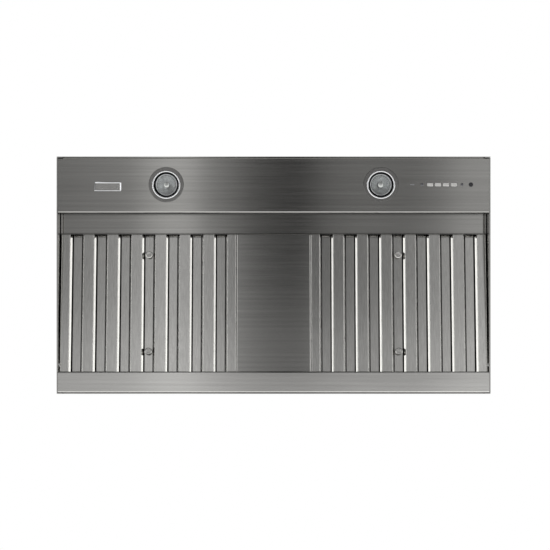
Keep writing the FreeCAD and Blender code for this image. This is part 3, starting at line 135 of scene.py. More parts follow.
def add(tree, kind, settings=(), **sockets):
    """A node of a kind. A socket's name has its spaces as underscores, and takes a value or an output."""
    made = tree.nodes.new("ShaderNode" + kind)
    for name, value in dict(settings).items():
        setattr(made, name, value)
    for name, value in sockets.items():
        where = int(name[1:]) if name[0] == "n" and name[1:].isdigit() else name.replace("_", " ")
        socket = made.inputs[where]
        if isinstance(value, bpy.types.NodeSocket):
            tree.links.new(value, socket)
        else:
            socket.default_value = value
    return made


print("brushed steel is", [round(c, 3) for c in colour("#C4C3C0")[:3]], "in linear light")

# %% [markdown]
# ## Floor
# The insert stands on a pale studio floor when it is seen from the side or from above. The
# photograph looks up through that floor, so the floor has an opening under the insert, which
# lets the light from below through, and its underside is clear.

# %% The floor
FLOOR_SPREAD = 14.0
FLOOR_DROP = 0.5 * MM       # floor under the rim, so that the two never share a plane


def new_material(name):
    """An empty node material and its output."""
    made = bpy.data.materials.new(name)
    made.use_nodes = True
    made.node_tree.nodes.clear()
    output = made.node_tree.nodes.new("ShaderNodeOutputMaterial")
    return made, made.node_tree, output.inputs["Surface"]


def new_piece(name, mesh, material):
    """A mesh as an object of the scene, with a finish."""
    piece = bpy.data.objects.new(name, mesh)
    piece.data.materials.append(material)
    bpy.context.scene.collection.objects.link(piece)
    return piece


paint, tree, surface = new_material("matt_floor_paint")
grain = add(tree, "TexNoise", Scale=6.0, Detail=3.0)
tone = add(tree, "ValToRGB", Fac=grain.outputs["Fac"])
tone.color_ramp.elements[0].color = colour("#EDEDEB")
tone.color_ramp.elements[1].color = colour("#F3F3F1")
matt = add(tree, "BsdfDiffuse", Color=tone.outputs["Color"])
clear = add(tree, "BsdfTransparent")
facing = add(tree, "NewGeometry")
sided = add(tree, "MixShader", n0=facing.outputs["Backfacing"], n1=matt.outputs[0], n2=clear.outputs[0])
tree.links.new(sided.outputs[0], surface)

rim_corners = ((lowest.x, lowest.y), (highest.x, lowest.y), (highest.x, highest.y), (lowest.x, highest.y))
inner = [Vector((x, y, -FLOOR_DROP)) for x, y in rim_corners]
outer = [Vector((math.copysign(FLOOR_SPREAD, p.x), math.copysign(FLOOR_SPREAD, p.y), p.z)) for p in inner]
floor_mesh = bpy.data.meshes.new("floor")
floor_mesh.from_pydata(inner + outer, [], [(i, 4 + i, 4 + (i + 1) % 4, (i + 1) % 4) for i in range(4)])
floor = new_piece("floor", floor_mesh, paint)
floor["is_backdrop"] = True
print("the floor faces", "up" if floor_mesh.polygons[0].normal.z > 0 else "down")

# %% [markdown]
# ## World
# Above the floor everything is white. Below it the studio is what the brushed steel reflects,
# because a metal has no colour of its own in the dark: it only shows what stands in front of
# it. Read from left to right, the panels of the real insert show a light band left of the
# middle, a dark one where the camera and its stand block the light, and a grey that brightens
# towards the right end. The world has the same bands, so that the grain can smear them. Far
# out on both sides lies a long bright window, 35 degrees off the camera's axis: the flange of a
# baffle is a steep mirror, and by way of the baffle above it, it shows that window. From front
# to back, a patch of light lifts the rear ends of the sloping filters, and the studio's pale
# rear wall lifts the flat trough and draws the light line along each bend that faces it.

# %% Light from below
# Each curve gives a level for a slope, which is the distance sideways for each metre down.
DARK, WINDOW, REAR_WALL = 0.05, 2.5, 1.3
INNER = (
    (-0.20, 0.26), (-0.139, 0.28), (-0.121, 0.34), (-0.094, 0.38), (-0.084, 0.62), (-0.068, 0.80),
    (-0.053, 0.74), (-0.048, 0.44), (-0.038, 0.33), (-0.029, 0.28), (-0.016, 0.13), (0.0, 0.07),
    (0.017, 0.04), (0.027, 0.12), (0.034, 0.20), (0.057, 0.26), (0.090, 0.22), (0.112, 0.36),
    (0.122, 0.56), (0.20, 0.62),
)
OUTER = ((0.27, DARK), (0.55, DARK), (0.60, WINDOW), (0.80, WINDOW), (0.90, 0.3))
CURVES = {
    "bands": ("X", [(-slope, level) for slope, level in reversed(OUTER)] + list(INNER) + list(OUTER)),
    "keep": ("Y", [(-0.60, 0.50), (-0.30, 1.0), (0.0, 0.95), (0.07, 0.35)]),
    "lift": ("Y", [(-0.22, 0.0), (-0.195, 0.04), (-0.165, 0.26), (-0.145, 0.30), (-0.12, 0.06), (-0.09, 0.0),
                   (0.0, 0.0), (0.04, 0.20), (0.10, 0.36), (0.25, REAR_WALL), (1.0, 1.2)]),
}
HORIZON = 0.06              # half the height over which the studio turns into the white above
LEAST_DROP = 0.05           # nearer the horizon than this, a slope is reckoned with it

world = bpy.data.worlds.new("studio")
world.use_nodes = True
bpy.context.scene.world = world
tree = world.node_tree
tree.nodes.clear()
towards = add(tree, "SeparateXYZ", Vector=add(tree, "TexCoord").outputs["Generated"])
drop = add(tree, "Math", {"operation": "MULTIPLY"}, n0=towards.outputs["Z"], n1=-1.0)
drop = add(tree, "Math", {"operation": "MAXIMUM"}, n0=drop.outputs[0], n1=LEAST_DROP)
levels = {}
for name, (axis, stops) in CURVES.items():
    slope = add(tree, "Math", {"operation": "DIVIDE"}, n0=towards.outputs[axis], n1=drop.outputs[0])
    where = add(tree, "MapRange", Value=slope.outputs[0], From_Min=-1.0, From_Max=1.0)
    curve = add(tree, "ValToRGB", Fac=where.outputs[0])
    marks = curve.color_ramp.elements
    marks.remove(marks[1])
    for i, (place, level) in enumerate(stops):
        mark = marks[0] if i == 0 else marks.new((place + 1) / 2)
        mark.position = (place + 1) / 2
        mark.color = (level, level, level, 1.0)
    levels[name] = curve.outputs["Color"]
below = add(tree, "Math", {"operation": "MULTIPLY_ADD"},
            n0=levels["bands"], n1=levels["keep"], n2=levels["lift"])
rise = add(tree, "MapRange", {"interpolation_type": "SMOOTHSTEP"}, Value=towards.outputs["Z"],
           From_Min=-HORIZON, From_Max=HORIZON)
around = add(tree, "Mix", n0=rise.outputs[0], n2=below.outputs[0], n3=1.0)
ray = add(tree, "LightPath")
seen = add(tree, "Mix", n0=ray.outputs["Is Camera Ray"], n2=around.outputs[0], n3=1.0)
sky = add(tree, "Background", Color=(1, 1, 1, 1), Strength=seen.outputs[0])
add(tree, "OutputWorld", Surface=sky.outputs[0])
print("the studio below has", len(CURVES["bands"][1]), "stops across it")

# %% [markdown]
# ## Soft boxes
# Two soft boxes stand low and far out, left and right, and give the rims and the lamps' rings
# their light. Over the floor a large one gives a soft shadow for the views from above.

# %% The soft boxes
soft_boxes = [      # place, what it faces, length along Y and width, glow
    ("box_left", (-2.8, 0.0, -1.3), (0, 0, 0), (1.8, 0.8), 1.5),
    ("box_right", (2.8, 0.0, -1.3), (0, 0, 0), (1.8, 0.8), 1.5),
    ("box_above", (-1.6, -2.4, 3.4), (0, 0, 0.1), (3.2, 3.2), 0.5),
]
for name, place, aim, size, glow in soft_boxes:
    lamp = bpy.data.lights.new(name, "AREA")
    lamp.shape = "RECTANGLE"
    lamp.size, lamp.size_y = size
    lamp.energy = glow * math.pi * size[0] * size[1]
    stand = bpy.data.objects.new(name, lamp)
    stand.location = place
    stand.rotation_euler = (Vector(aim) - Vector(place)).to_track_quat("-Z", "Y").to_euler()
    bpy.context.scene.collection.objects.link(stand)
print(len(soft_boxes), "soft boxes")

# %% [markdown]
# ## Brushed stainless steel
# The liner is AISI 304 sheet with a No. 4 finish: an abrasive belt ran along the sheet and left
# scratches a tenth of a millimetre apart, all the same way. They spread a reflection across the
# grain and hardly along it. So the roughness is small, the anisotropy large, and the tangent
# runs across the grain. A real scratch is finer than a pixel, so the streaks are drawn
# coarser, as the belt's wider bands, which the picture does show.

# %% Streaks and wear
GRAIN = {"x": (1, 0, 0), "y": (0, 1, 0)}
MIDDLE_OF_NOISE = {"From_Min": 0.3, "From_Max": 0.7}    # where nearly all of a noise's values lie


def object_place(tree, scale):
    """A place on the piece, stretched: the scale is in repeats for each metre along X, Y and Z."""
    where = add(tree, "TexCoord")
    return add(tree, "Mapping", Vector=where.outputs["Object"], Scale=scale).outputs["Vector"]


def streaks(tree, grain, width, length, detail=2.0):
    """Noise in streaks of a width and a length, in metres, along a grain."""
    scale = [1 / length if along else 1 / width for along in GRAIN[grain]]
    return add(tree, "TexNoise", Vector=object_place(tree, scale), Scale=1.0, Detail=detail).outputs["Fac"]


def speckle(tree, size, detail=2.0):
    """Noise of one size all ways, in metres."""
    scale = (1 / size,) * 3
    return add(tree, "TexNoise", Vector=object_place(tree, scale), Scale=1.0, Detail=detail).outputs["Fac"]


def blend(tree, share, first, second):
    """A colour between two, each a hex value or an output."""
    ends = [colour(end) if isinstance(end, str) else end for end in (first, second)]
    return add(tree, "Mix", {"data_type": "RGBA"}, n0=share, n6=ends[0], n7=ends[1]).outputs[2]


def worn(tree, stains, tones, scuffs, roughness, spread):
    """A tint between two tones, and a roughness round a middle one, each following its own noise."""
    stained = add(tree, "MapRange", Value=stains, **MIDDLE_OF_NOISE)
    scuffed = add(tree, "MapRange", Value=scuffs, To_Min=roughness - spread, To_Max=roughness + spread,
                  **MIDDLE_OF_NOISE)
    return blend(tree, stained.outputs[0], *tones), scuffed.outputs[0]


def across(tree, grain):
    """The direction on the surface that is square to the grain."""
    facing = add(tree, "TexCoord").outputs["Normal"]
    turned = add(tree, "VectorMath", {"operation": "CROSS_PRODUCT"}, n0=facing, n1=GRAIN[grain])
    return add(tree, "VectorTransform",
               {"vector_type": "VECTOR", "convert_from": "OBJECT", "convert_to": "WORLD"},
               Vector=turned.outputs[0]).outputs[0]


print("grain can run along", " or ".join(GRAIN))

# %% [markdown]
# ## Four brushed sheets
# The shell, the control panel and the trough have their grain from side to side, the side walls
# from front to back. All are one steel. The side walls have the lightest tone; the control panel's
# darker tone is painted shade and the trough's lighter one painted light. The control panel's riser,
# folded up to the ledge, is painted dark and rough as shade at the step: it looks to the rear, and the
# finish finds it by that.

# %% Brushed sheet
BELT_BANDS = (6 * MM, 700 * MM)         # width and length
SCRATCHES = (0.8 * MM, 90 * MM)
SCRATCH_DEPTH = 0.02 * MM
BELT_SPREAD = 0.02          # how much the roughness varies
REARWARD = (0.9, 0.97)      # how far a face looks to the rear before it counts as turned up
# painted shade: the riser's dark tone and roughness stand for the shade at the step up to the ledge
RISER_PAINTED_SHADE, RISER_SHADE_ROUGHNESS = "#3A3A39", 0.6


def brushed_sheet(name, grain, tones, roughness, anisotropy, riser=False):
    """Belt-ground sheet, with its grain along X or Y. A riser, which looks to the rear, is painted dark and
    rough as shade.
    """
    made, tree, surface = new_material(name)
    bands = streaks(tree, grain, *BELT_BANDS)
    lines = streaks(tree, grain, *SCRATCHES, 3.0)
    tint, rough = worn(tree, bands, tones, lines, roughness, BELT_SPREAD)
    if riser:
        # painted shade: the faces that look to the rear are drawn dark
        facing = add(tree, "SeparateXYZ", Vector=add(tree, "TexCoord").outputs["Normal"])
        up = add(tree, "MapRange", Value=facing.outputs["Y"], From_Min=REARWARD[0], From_Max=REARWARD[1])
        tint = blend(tree, up.outputs[0], tint, RISER_PAINTED_SHADE)
        rough = add(tree, "Mix", n0=up.outputs[0], n2=rough, n3=RISER_SHADE_ROUGHNESS).outputs[0]
    ridge = add(tree, "Bump", Height=lines, Distance=SCRATCH_DEPTH, Strength=0.12)
    steel = add(tree, "BsdfPrincipled", Base_Color=tint, Roughness=rough, Normal=ridge.outputs[0],
                Tangent=across(tree, grain), Metallic=1.0, Anisotropic=anisotropy)
    tree.links.new(steel.outputs[0], surface)
    return made


SHELL_TONES = ("#BDBCB9", "#C9C8C5")
PANEL_PAINTED_SHADE_TONES = ("#A8A7A4", "#B4B3B0")        # darker than the shell: painted shade
TROUGH_PAINTED_LIGHT_TONES = ("#D0CFCC", "#DAD9D6")       # lighter than the shell: painted light
SIDE_TONES = ("#D6D5D2", "#E0DFDC")         # the lightest tone
sheet_steel = brushed_sheet("stainless_304_no4_grain_x", "x", SHELL_TONES, 0.10, 0.9)
side_steel = brushed_sheet("stainless_304_no4_grain_y", "y", SIDE_TONES, 0.10, 0.8)
# the control panel's darker tone is painted shade, the trough's lighter tone painted light
panel_steel = brushed_sheet("stainless_304_painted_shade_grain_x", "x", PANEL_PAINTED_SHADE_TONES, 0.10, 0.9, riser=True)
trough_steel = brushed_sheet("stainless_304_painted_light_grain_x", "x", TROUGH_PAINTED_LIGHT_TONES, 0.12, 0.9)
print("four brushed sheets, with streaks", SCRATCHES[0] / MM, "mm wide")

# %% [markdown]
# ## Baffle steel
# The baffles are AISI 430 strip, folded on a press brake with the grain along the channel. The
# flats stay as brushed as the strip was. The flanges are drawn lighter than the flats, a painted
# highlight on top of the window that they really reflect. The insides of the channels, and the
# margins of the upper ones behind the lower ones' flanges, are painted dark and rough: painted
# shade where the flanges keep the light out, drawn a little wider than the real shade. It draws
# the dark lines along the baffles. The finish finds flanges and insides by the way that the metal faces, and
# the margins by their distance from the middle of their gap.

# %% Folded strip
STRIP_BANDS = (3 * MM, 260 * MM)        # width and length
STRIP_SCRATCHES = (0.7 * MM, 60 * MM)
FLANGE_SIDEWAYS = (0.75, 0.95)      # how far sideways a face looks before it counts as a flange
INSIDE_FADE = 0.1           # over how much of its turn upwards a face fades into the painted shade
# painted shade: the dark tone and roughness drawn on the channels' insides and the webs' margins
CHANNEL_PAINTED_SHADE, CHANNEL_SHADE_ROUGHNESS = "#1A1A19", 0.5
BAFFLE_TONES, BAFFLE_ROUGHNESS = ("#C4C3C0", "#D0CFCC"), 0.12
# painted highlight: the lighter tone of the faces that look sideways
FLANGE_PAINTED_HIGHLIGHT = "#E2E2E0"
BAFFLE_PITCH = 57.6 * MM
WEB_SHADE_REACH = (8.9 * MM, 10.3 * MM)      # from the middle of a gap, where the webs' painted shade begins and where it is full


def folded_strip(name, inside, middle=None):
    """Brushed strip. Faces turned up past a limit, and margins far from a middle, are painted dark as shade;
    sideways faces are painted lighter as a highlight.
    """
    made, tree, surface = new_material(name)
    place = add(tree, "TexCoord")
    bands = streaks(tree, "y", *STRIP_BANDS)
    lines = streaks(tree, "y", *STRIP_SCRATCHES, 3.0)
    facing = add(tree, "SeparateXYZ", Vector=place.outputs["Normal"])
    sideways = add(tree, "Math", {"operation": "ABSOLUTE"}, n0=facing.outputs["X"])
    flange = add(tree, "MapRange", Value=sideways.outputs[0],
                 From_Min=FLANGE_SIDEWAYS[0], From_Max=FLANGE_SIDEWAYS[1])
    shaded = add(tree, "MapRange", Value=facing.outputs["Z"],
               From_Min=inside, From_Max=inside + INSIDE_FADE).outputs[0]
    if middle is not None:
        side = add(tree, "SeparateXYZ", Vector=place.outputs["Object"])
        off = add(tree, "Math", {"operation": "SUBTRACT"}, n0=side.outputs["X"], n1=middle)
        off = add(tree, "Math", {"operation": "PINGPONG"}, n0=off.outputs[0], n1=BAFFLE_PITCH / 2)
        margin = add(tree, "MapRange", Value=off.outputs[0], From_Min=WEB_SHADE_REACH[0], From_Max=WEB_SHADE_REACH[1])
        shaded = add(tree, "Math", {"operation": "MAXIMUM"}, n0=shaded, n1=margin.outputs[0]).outputs[0]
    tint, rough = worn(tree, bands, BAFFLE_TONES, lines, BAFFLE_ROUGHNESS, BELT_SPREAD)
    # painted highlight on the flanges
    tint = blend(tree, flange.outputs[0], tint, FLANGE_PAINTED_HIGHLIGHT)
    # painted shade on the insides and the margins
    tint = blend(tree, shaded, tint, CHANNEL_PAINTED_SHADE)
    rough = add(tree, "Mix", n0=shaded, n2=rough, n3=CHANNEL_SHADE_ROUGHNESS).outputs[0]
    ridge = add(tree, "Bump", Height=lines, Distance=SCRATCH_DEPTH, Strength=0.25)
    steel = add(tree, "BsdfPrincipled", Base_Color=tint, Roughness=rough, Normal=ridge.outputs[0],
                Tangent=across(tree, "y"), Metallic=1.0, Anisotropic=0.3)
    tree.links.new(steel.outputs[0], surface)
    return made


def middle_of(node):
    """The X of a solid's middle."""
    low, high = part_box(node)
    return (low.x + high.x) / 2


CHANNEL_INSIDE, FRAME_INSIDE = -0.18, 0.10      # how far up a face looks before it is an inside, in painted shade
baffle_steel = folded_strip("stainless_430_baffle", CHANNEL_INSIDE)
frame_steel = folded_strip("stainless_430_filter_frame", FRAME_INSIDE)
web_steel = {}
for side in ("left", "right"):
    middle = middle_of(f"upper_baffles_{side}")
    web_steel[side] = folded_strip(f"stainless_430_upper_baffle_{side}", CHANNEL_INSIDE, middle)
print("baffle steel made, gaps every", BAFFLE_PITCH / MM, "mm")

# %% [markdown]
# ## Plated, drawn and polished metal
# The other metals differ in their colour and in what their making left on them. Chrome on the
# small plate's rim is nearly a mirror, with a faint polishing haze, and the plate's field is
# satin. So is the nickel on the buttons and on the lamps' caps. Turned knobs keep fine marks of
# the lathe. Drawn shafts, pins and the roof's screws are zinc plated, the panel's screws oxidised
# black. Each takes the same few values, so one function makes them all: two tones, a
# roughness, and the size and depth of the marks.

# %% Plain metals


def plain_metal(name, tones, roughness, mark, depth=0.01, detail=2.0):
    """A metal with marks of one size all over, in metres, which vary its tone and roughness."""
    made, tree, surface = new_material(name)
    marks = speckle(tree, mark, detail)
    tint, rough = worn(tree, marks, tones, marks, roughness, roughness * 0.2)
    dents = add(tree, "Bump", Height=marks, Distance=depth * MM, Strength=0.3)
    metal = add(tree, "BsdfPrincipled", Base_Color=tint, Roughness=rough, Normal=dents.outputs[0],
                Metallic=1.0)
    tree.links.new(metal.outputs[0], surface)
    return made


metals = {
    "chrome_plate": plain_metal("chrome_plate", ("#DADBDC", "#E4E5E6"), 0.09, 9 * MM),
    "turned_knob": plain_metal("turned_stainless_knob", ("#CFCECB", "#DAD9D6"), 0.22, 2 * MM, 0.03),
    "zinc_plate": plain_metal("zinc_plated_steel", ("#B9BBBD", "#CBCDCF"), 0.26, 3 * MM),
    "black_oxide": plain_metal("black_oxide_steel", ("#6C6C6F", "#7A7A7D"), 0.42, 2 * MM),
    "satin_nickel": plain_metal("satin_nickel_cap", ("#E3E2DF", "#EDECE9"), 0.36, 1.5 * MM),
    "satin_field": plain_metal("satin_zinc_field", ("#B4B3B0", "#C0BFBC"), 0.24, 1.5 * MM),
    "zinc_casting": plain_metal("die_cast_zinc", ("#8F9193", "#A6A8AA"), 0.46, 4 * MM, 0.08, 4.0),
    "aluminium_can": plain_metal("drawn_aluminium_can", ("#C4C6C8", "#D4D6D7"), 0.33, 5 * MM, 0.02),
}
print(", ".join(metals))

# %% [markdown]
# ## The lamps' rings
# Each lamp looks out of a ring that was spun from sheet, with three surfaces. The rounded bead
# is polished and plated. The flat flange round it was left satin, like the panel that it lies
# on. The cone that leads in to the glass is drawn near-black, a painted shade for the dark gap
# round the glass. On the lathe the surface changes at a height, and so does this finish: it reads how high a
# point lies.

# %% Spun ring in three surfaces
FADE = 0.1 * MM             # height over which one surface turns into the next
RING_SURFACES = (           # from which height above the rim, tones, roughness
    (0.0, ("#E2E3E4", "#ECEDEE"), 0.12),            # the plated bead, which reaches lowest
    (1.0 * MM, ("#8C8B89", "#999896"), 0.20),       # the satin flange
    (1.45 * MM, ("#161617", "#1E1E20"), 0.45),      # the cone, drawn near-black as painted shade
)

spun_ring, tree, surface = new_material("spun_lamp_ring")
spot = add(tree, "SeparateXYZ", Vector=add(tree, "TexCoord").outputs["Object"])
fine = add(tree, "MapRange", Value=speckle(tree, 4 * MM), **MIDDLE_OF_NOISE).outputs[0]
(_, bead_tones, rough), *inner_surfaces = RING_SURFACES
tint = blend(tree, fine, *bead_tones)
for start, tones, roughness in inner_surfaces:
    past = add(tree, "MapRange", Value=spot.outputs["Z"], From_Min=start, From_Max=start + FADE).outputs[0]
    tint = blend(tree, past, tint, blend(tree, fine, *tones))
    rough = add(tree, "Mix", n0=past, n2=rough, n3=roughness).outputs[0]
ring_metal = add(tree, "BsdfPrincipled", Base_Color=tint, Roughness=rough, Metallic=1.0)
tree.links.new(ring_metal.outputs[0], surface)
print("ring surfaces begin at", [round(start / MM, 2) for start, _, _ in RING_SURFACES], "mm")

# %% [markdown]
# ## Hot-dip galvanised sheet
# Hidden parts are galvanised: the zinc froze in crystals, or spangle, 5 to 15 mm across, each of
# which reflects a little differently. A cell pattern gives each crystal one tone and roughness.

# %% Spangle
SPANGLE = 9 * MM

galvanised, tree, surface = new_material("hot_dip_galvanised_sheet")
crystals = add(tree, "TexVoronoi", Vector=object_place(tree, (1 / SPANGLE,) * 3), Scale=1.0, Randomness=1.0)
shade = add(tree, "SeparateColor", Color=crystals.outputs["Color"])
frost = speckle(tree, 1.5 * MM, 3.0)
frosty = add(tree, "MapRange", Value=frost, To_Max=0.35, **MIDDLE_OF_NOISE)
tint = blend(tree, frosty.outputs[0], blend(tree, shade.outputs["Red"], "#9DA2A6", "#B9BEC1"), "#A9ADB0")
rough = add(tree, "MapRange", Value=shade.outputs["Green"], To_Min=0.36, To_Max=0.52)
pits = add(tree, "Bump", Height=frost, Distance=0.03 * MM, Strength=0.3)
zinc = add(tree, "BsdfPrincipled", Base_Color=tint, Roughness=rough.outputs[0], Normal=pits.outputs[0],
           Metallic=1.0)
tree.links.new(zinc.outputs[0], surface)
print("spangle", SPANGLE / MM, "mm")

# %% [markdown]
# ## Plastics, enamel, ceramic and wire
# The rest is not metal. Moulded ABS has a fine spark-eroded grain, baked enamel an orange-peel
# surface under its gloss, steatite a dry powdery one, PVC a soft sheen. One function makes them:
# two tones, a roughness, the index of refraction that such a material has, and the grain's size.

# %% Moulded, fired and enamelled


def moulded(name, tones, roughness, index, mark, depth=0.02, **more):
    """A non-metal with a grain of one size, in metres."""
    made, tree, surface = new_material(name)
    marks = speckle(tree, mark, 3.0)
    tint, rough = worn(tree, marks, tones, marks, roughness, roughness * 0.1)
    dents = add(tree, "Bump", Height=marks, Distance=depth * MM, Strength=0.4)
    body = add(tree, "BsdfPrincipled", Base_Color=tint, Roughness=rough, Normal=dents.outputs[0],
               IOR=index, **more)
    tree.links.new(body.outputs[0], surface)
    return made


others = {
    "abs": moulded("moulded_abs", ("#161617", "#222224"), 0.48, 1.53, 0.8 * MM, 0.04),
    "smoked_cap": moulded("smoked_polycarbonate_cap", ("#1B1C1E", "#2A2B2E"), 0.14, 1.58, 2 * MM, 0.01),
    "lens": moulded("smoked_indicator_lens", ("#77787A", "#838486"), 0.35, 1.58, 1 * MM),
    "laminate": moulded("fr4_laminate_with_solder_mask", ("#12452B", "#1B5A38"), 0.32, 1.5, 1.2 * MM),
    "pressed_glass": moulded("pressed_lamp_glass_back", ("#C9CCCD", "#D9DBDC"), 0.18, 1.47, 6 * MM),
    "steatite": moulded("unglazed_steatite", ("#DDD8CC", "#EAE6DC"), 0.7, 1.6, 0.7 * MM, 0.05),
    "enamel": moulded("baked_black_enamel", ("#1E1F21", "#2C2D30"), 0.3, 1.5, 4 * MM, 0.05, Coat_Weight=0.4),
    "pvc": moulded("pvc_lead_insulation", ("#1D1D1E", "#2B2B2C"), 0.4, 1.53, 1.5 * MM),
}
print(", ".join(others))

# %% [markdown]
# ## Dressing the solids
# Every solid keeps its shape and gets the finish of the real piece. A table goes from the
# beginning of a node's name to its finish, so that a left and a right piece share one line.

# %% A finish for every solid
finishes = {
    "side_panel": side_steel, "front_wall": sheet_steel, "rear_wall": sheet_steel, "top_panel": sheet_steel,
    "control_panel": panel_steel, "filter_ledge": panel_steel, "centre_panel": sheet_steel,
    "grease_trough": trough_steel, "trough_ends": side_steel, "filter_stops": sheet_steel,
    "filter_frame": frame_steel, "lower_baffles": baffle_steel,
    "upper_baffles_left": web_steel["left"], "upper_baffles_right": web_steel["right"],
    "filter_knobs": metals["turned_knob"], "lamp_bezel": spun_ring,
    "lamp_socket": others["steatite"], "lamp_can": galvanised,
    "compartment_cover": galvanised, "scroll": galvanised, "blower_wheel": galvanised,
    "motor_bracket": galvanised, "duct_collar": galvanised, "damper_flap": galvanised,
    "junction_box": galvanised, "motor_shaft": metals["zinc_plate"], "damper_rod": metals["zinc_plate"],
    "speed_button": metals["satin_nickel"], "light_button": others["smoked_cap"],
    "indicator_lens": others["lens"], "switch_housing": others["abs"], "terminal_block": others["abs"],
    "control_board": others["laminate"], "motor": others["enamel"], "capacitor": metals["aluminium_can"],
    "cable_clamp": metals["zinc_casting"], "wiring": others["pvc"],
}
replaced_later = []
for name, solid in nodes.items():
    starts = [start for start in finishes if name.startswith(start)]
    if not starts:
        replaced_later.append(name)
        continue
    solid.data.materials.clear()
    solid.data.materials.append(finishes[max(starts, key=len)])
print("solids that a piece replaces:", ", ".join(replaced_later))

# %% [markdown]
# ## Turned pieces
# A lamp is round all over, so each of its pieces is one profile spun about an axis, as it was on
# the glass press. Few enough segments with flat shading would show as facets, which the
# reflector wants and the other pieces do not, so smoothing is a choice.

# %% Spin a profile


def spun(profile, segments):
    """A profile of (radius, height) points, in metres, spun about Z as a mesh in the making."""
    shape = bmesh.new()
    rings = []
    for radius, height in profile:
        turns = segments if radius > 0 else 1
        rings.append([shape.verts.new((radius * math.cos(2 * math.pi * i / segments),
                                       radius * math.sin(2 * math.pi * i / segments), height))
                      for i in range(turns)])
    for near, far in zip(rings, rings[1:]):
        for i in range(segments):
            corners = [near[i % len(near)], near[(i + 1) % len(near)],
                       far[(i + 1) % len(far)], far[i % len(far)]]
            shape.faces.new(list(dict.fromkeys(corners)))
    bmesh.ops.recalc_face_normals(shape, faces=shape.faces)
    return shape


def settled(name, shape, place, material, smooth=35.0, replaced=()):
    """A mesh in the making as a finished piece at a place, riding on the liner."""
    mesh = bpy.data.meshes.new(name)
    shape.transform(Matrix.Translation(place))
    shape.to_mesh(mesh)
    shape.free()
    if smooth:
        mesh.shade_smooth()
        mesh.set_sharp_from_angle(angle=math.radians(smooth))
    piece = new_piece(name, mesh, material)
    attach(piece, "liner")
    if replaced:
        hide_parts(*replaced)
    return piece


print("spun and settled")

# %% [markdown]
# ## The lamps' glass and mirror
# Each is a reflector lamp 50 mm across. Its dish is pressed glass, coated inside with aluminium
# that was evaporated in a vacuum, so that it is bright but thin. The front is clear borosilicate
# glass, which stands the heat and keeps the faint waves of the press.

# %% Lamp materials
facet_coat = plain_metal("vacuum_aluminised_facets", ("#D6D7D8", "#E6E7E8"), 0.12, 6 * MM, 0.02)

front_glass, tree, surface = new_material("pressed_borosilicate_front")
waves = speckle(tree, 7 * MM, 1.0)
haze = add(tree, "MapRange", Value=waves, To_Min=0.01, To_Max=0.07)
ripple = add(tree, "Bump", Height=waves, Distance=0.05 * MM, Strength=0.3)
glass = add(tree, "BsdfPrincipled", Base_Color=colour("#F4F6F6"), Roughness=haze.outputs[0],
            Normal=ripple.outputs[0], IOR=1.47, Transmission_Weight=1.0)
tree.links.new(glass.outputs[0], surface)
print("lamp finishes made")

# %% [markdown]
# ## The lamps, from the rim to the pins
# A lamp is a dish behind a front glass. The mirror in it is pressed in flat facets, which the
# picture shows as a mosaic of greys, so it has few segments, and each facet swells a little.
# In the middle stands a small capsule behind a metal cap that stops glare, and behind the dish
# a ceramic base with two pins. The profile of the outside is the solid's own, so the lamp
# still fits its socket and ring.

# %% Lamp pieces
ROUND = 64                  # segments of the large pieces
LENS_THICK = 1.6 * MM
LENS_GAP = 0.4 * MM         # between the lens and what is before and behind it
BOWL_DEPTH = 24 * MM
BOWL_NECK = 7.5 * MM        # radius of the mirror where it ends behind the capsule
FACET_SEGMENTS = 26
FACET_RINGS = 7
FACET_RISE = 0.25 * MM      # of the middle of a facet over its corners
CAP_RADIUS = 6.2 * MM
CAP_WALL = 0.8 * MM
CAPSULE_RADIUS = 4.2 * MM
THROAT_RADIUS = 12.5 * MM   # where the dish meets its base
PIN_RADIUS = 2.3 * MM
PIN_LENGTH = 7 * MM
PIN_OFFSET = 5 * MM


def lamp_profile(radius, face, pins_end):
    """The outside of the dish: rim, shoulder, throat and base, as the solid has it."""
    length = pins_end - face
    shoulder, waist, base = face + 4 * MM, face + 0.55 * length, pins_end - PIN_LENGTH
    arc = [(radius - (radius - THROAT_RADIUS) * t ** 1.9, shoulder + (waist - shoulder) * t)
           for t in (i / 8 for i in range(9))]
    return arc, base


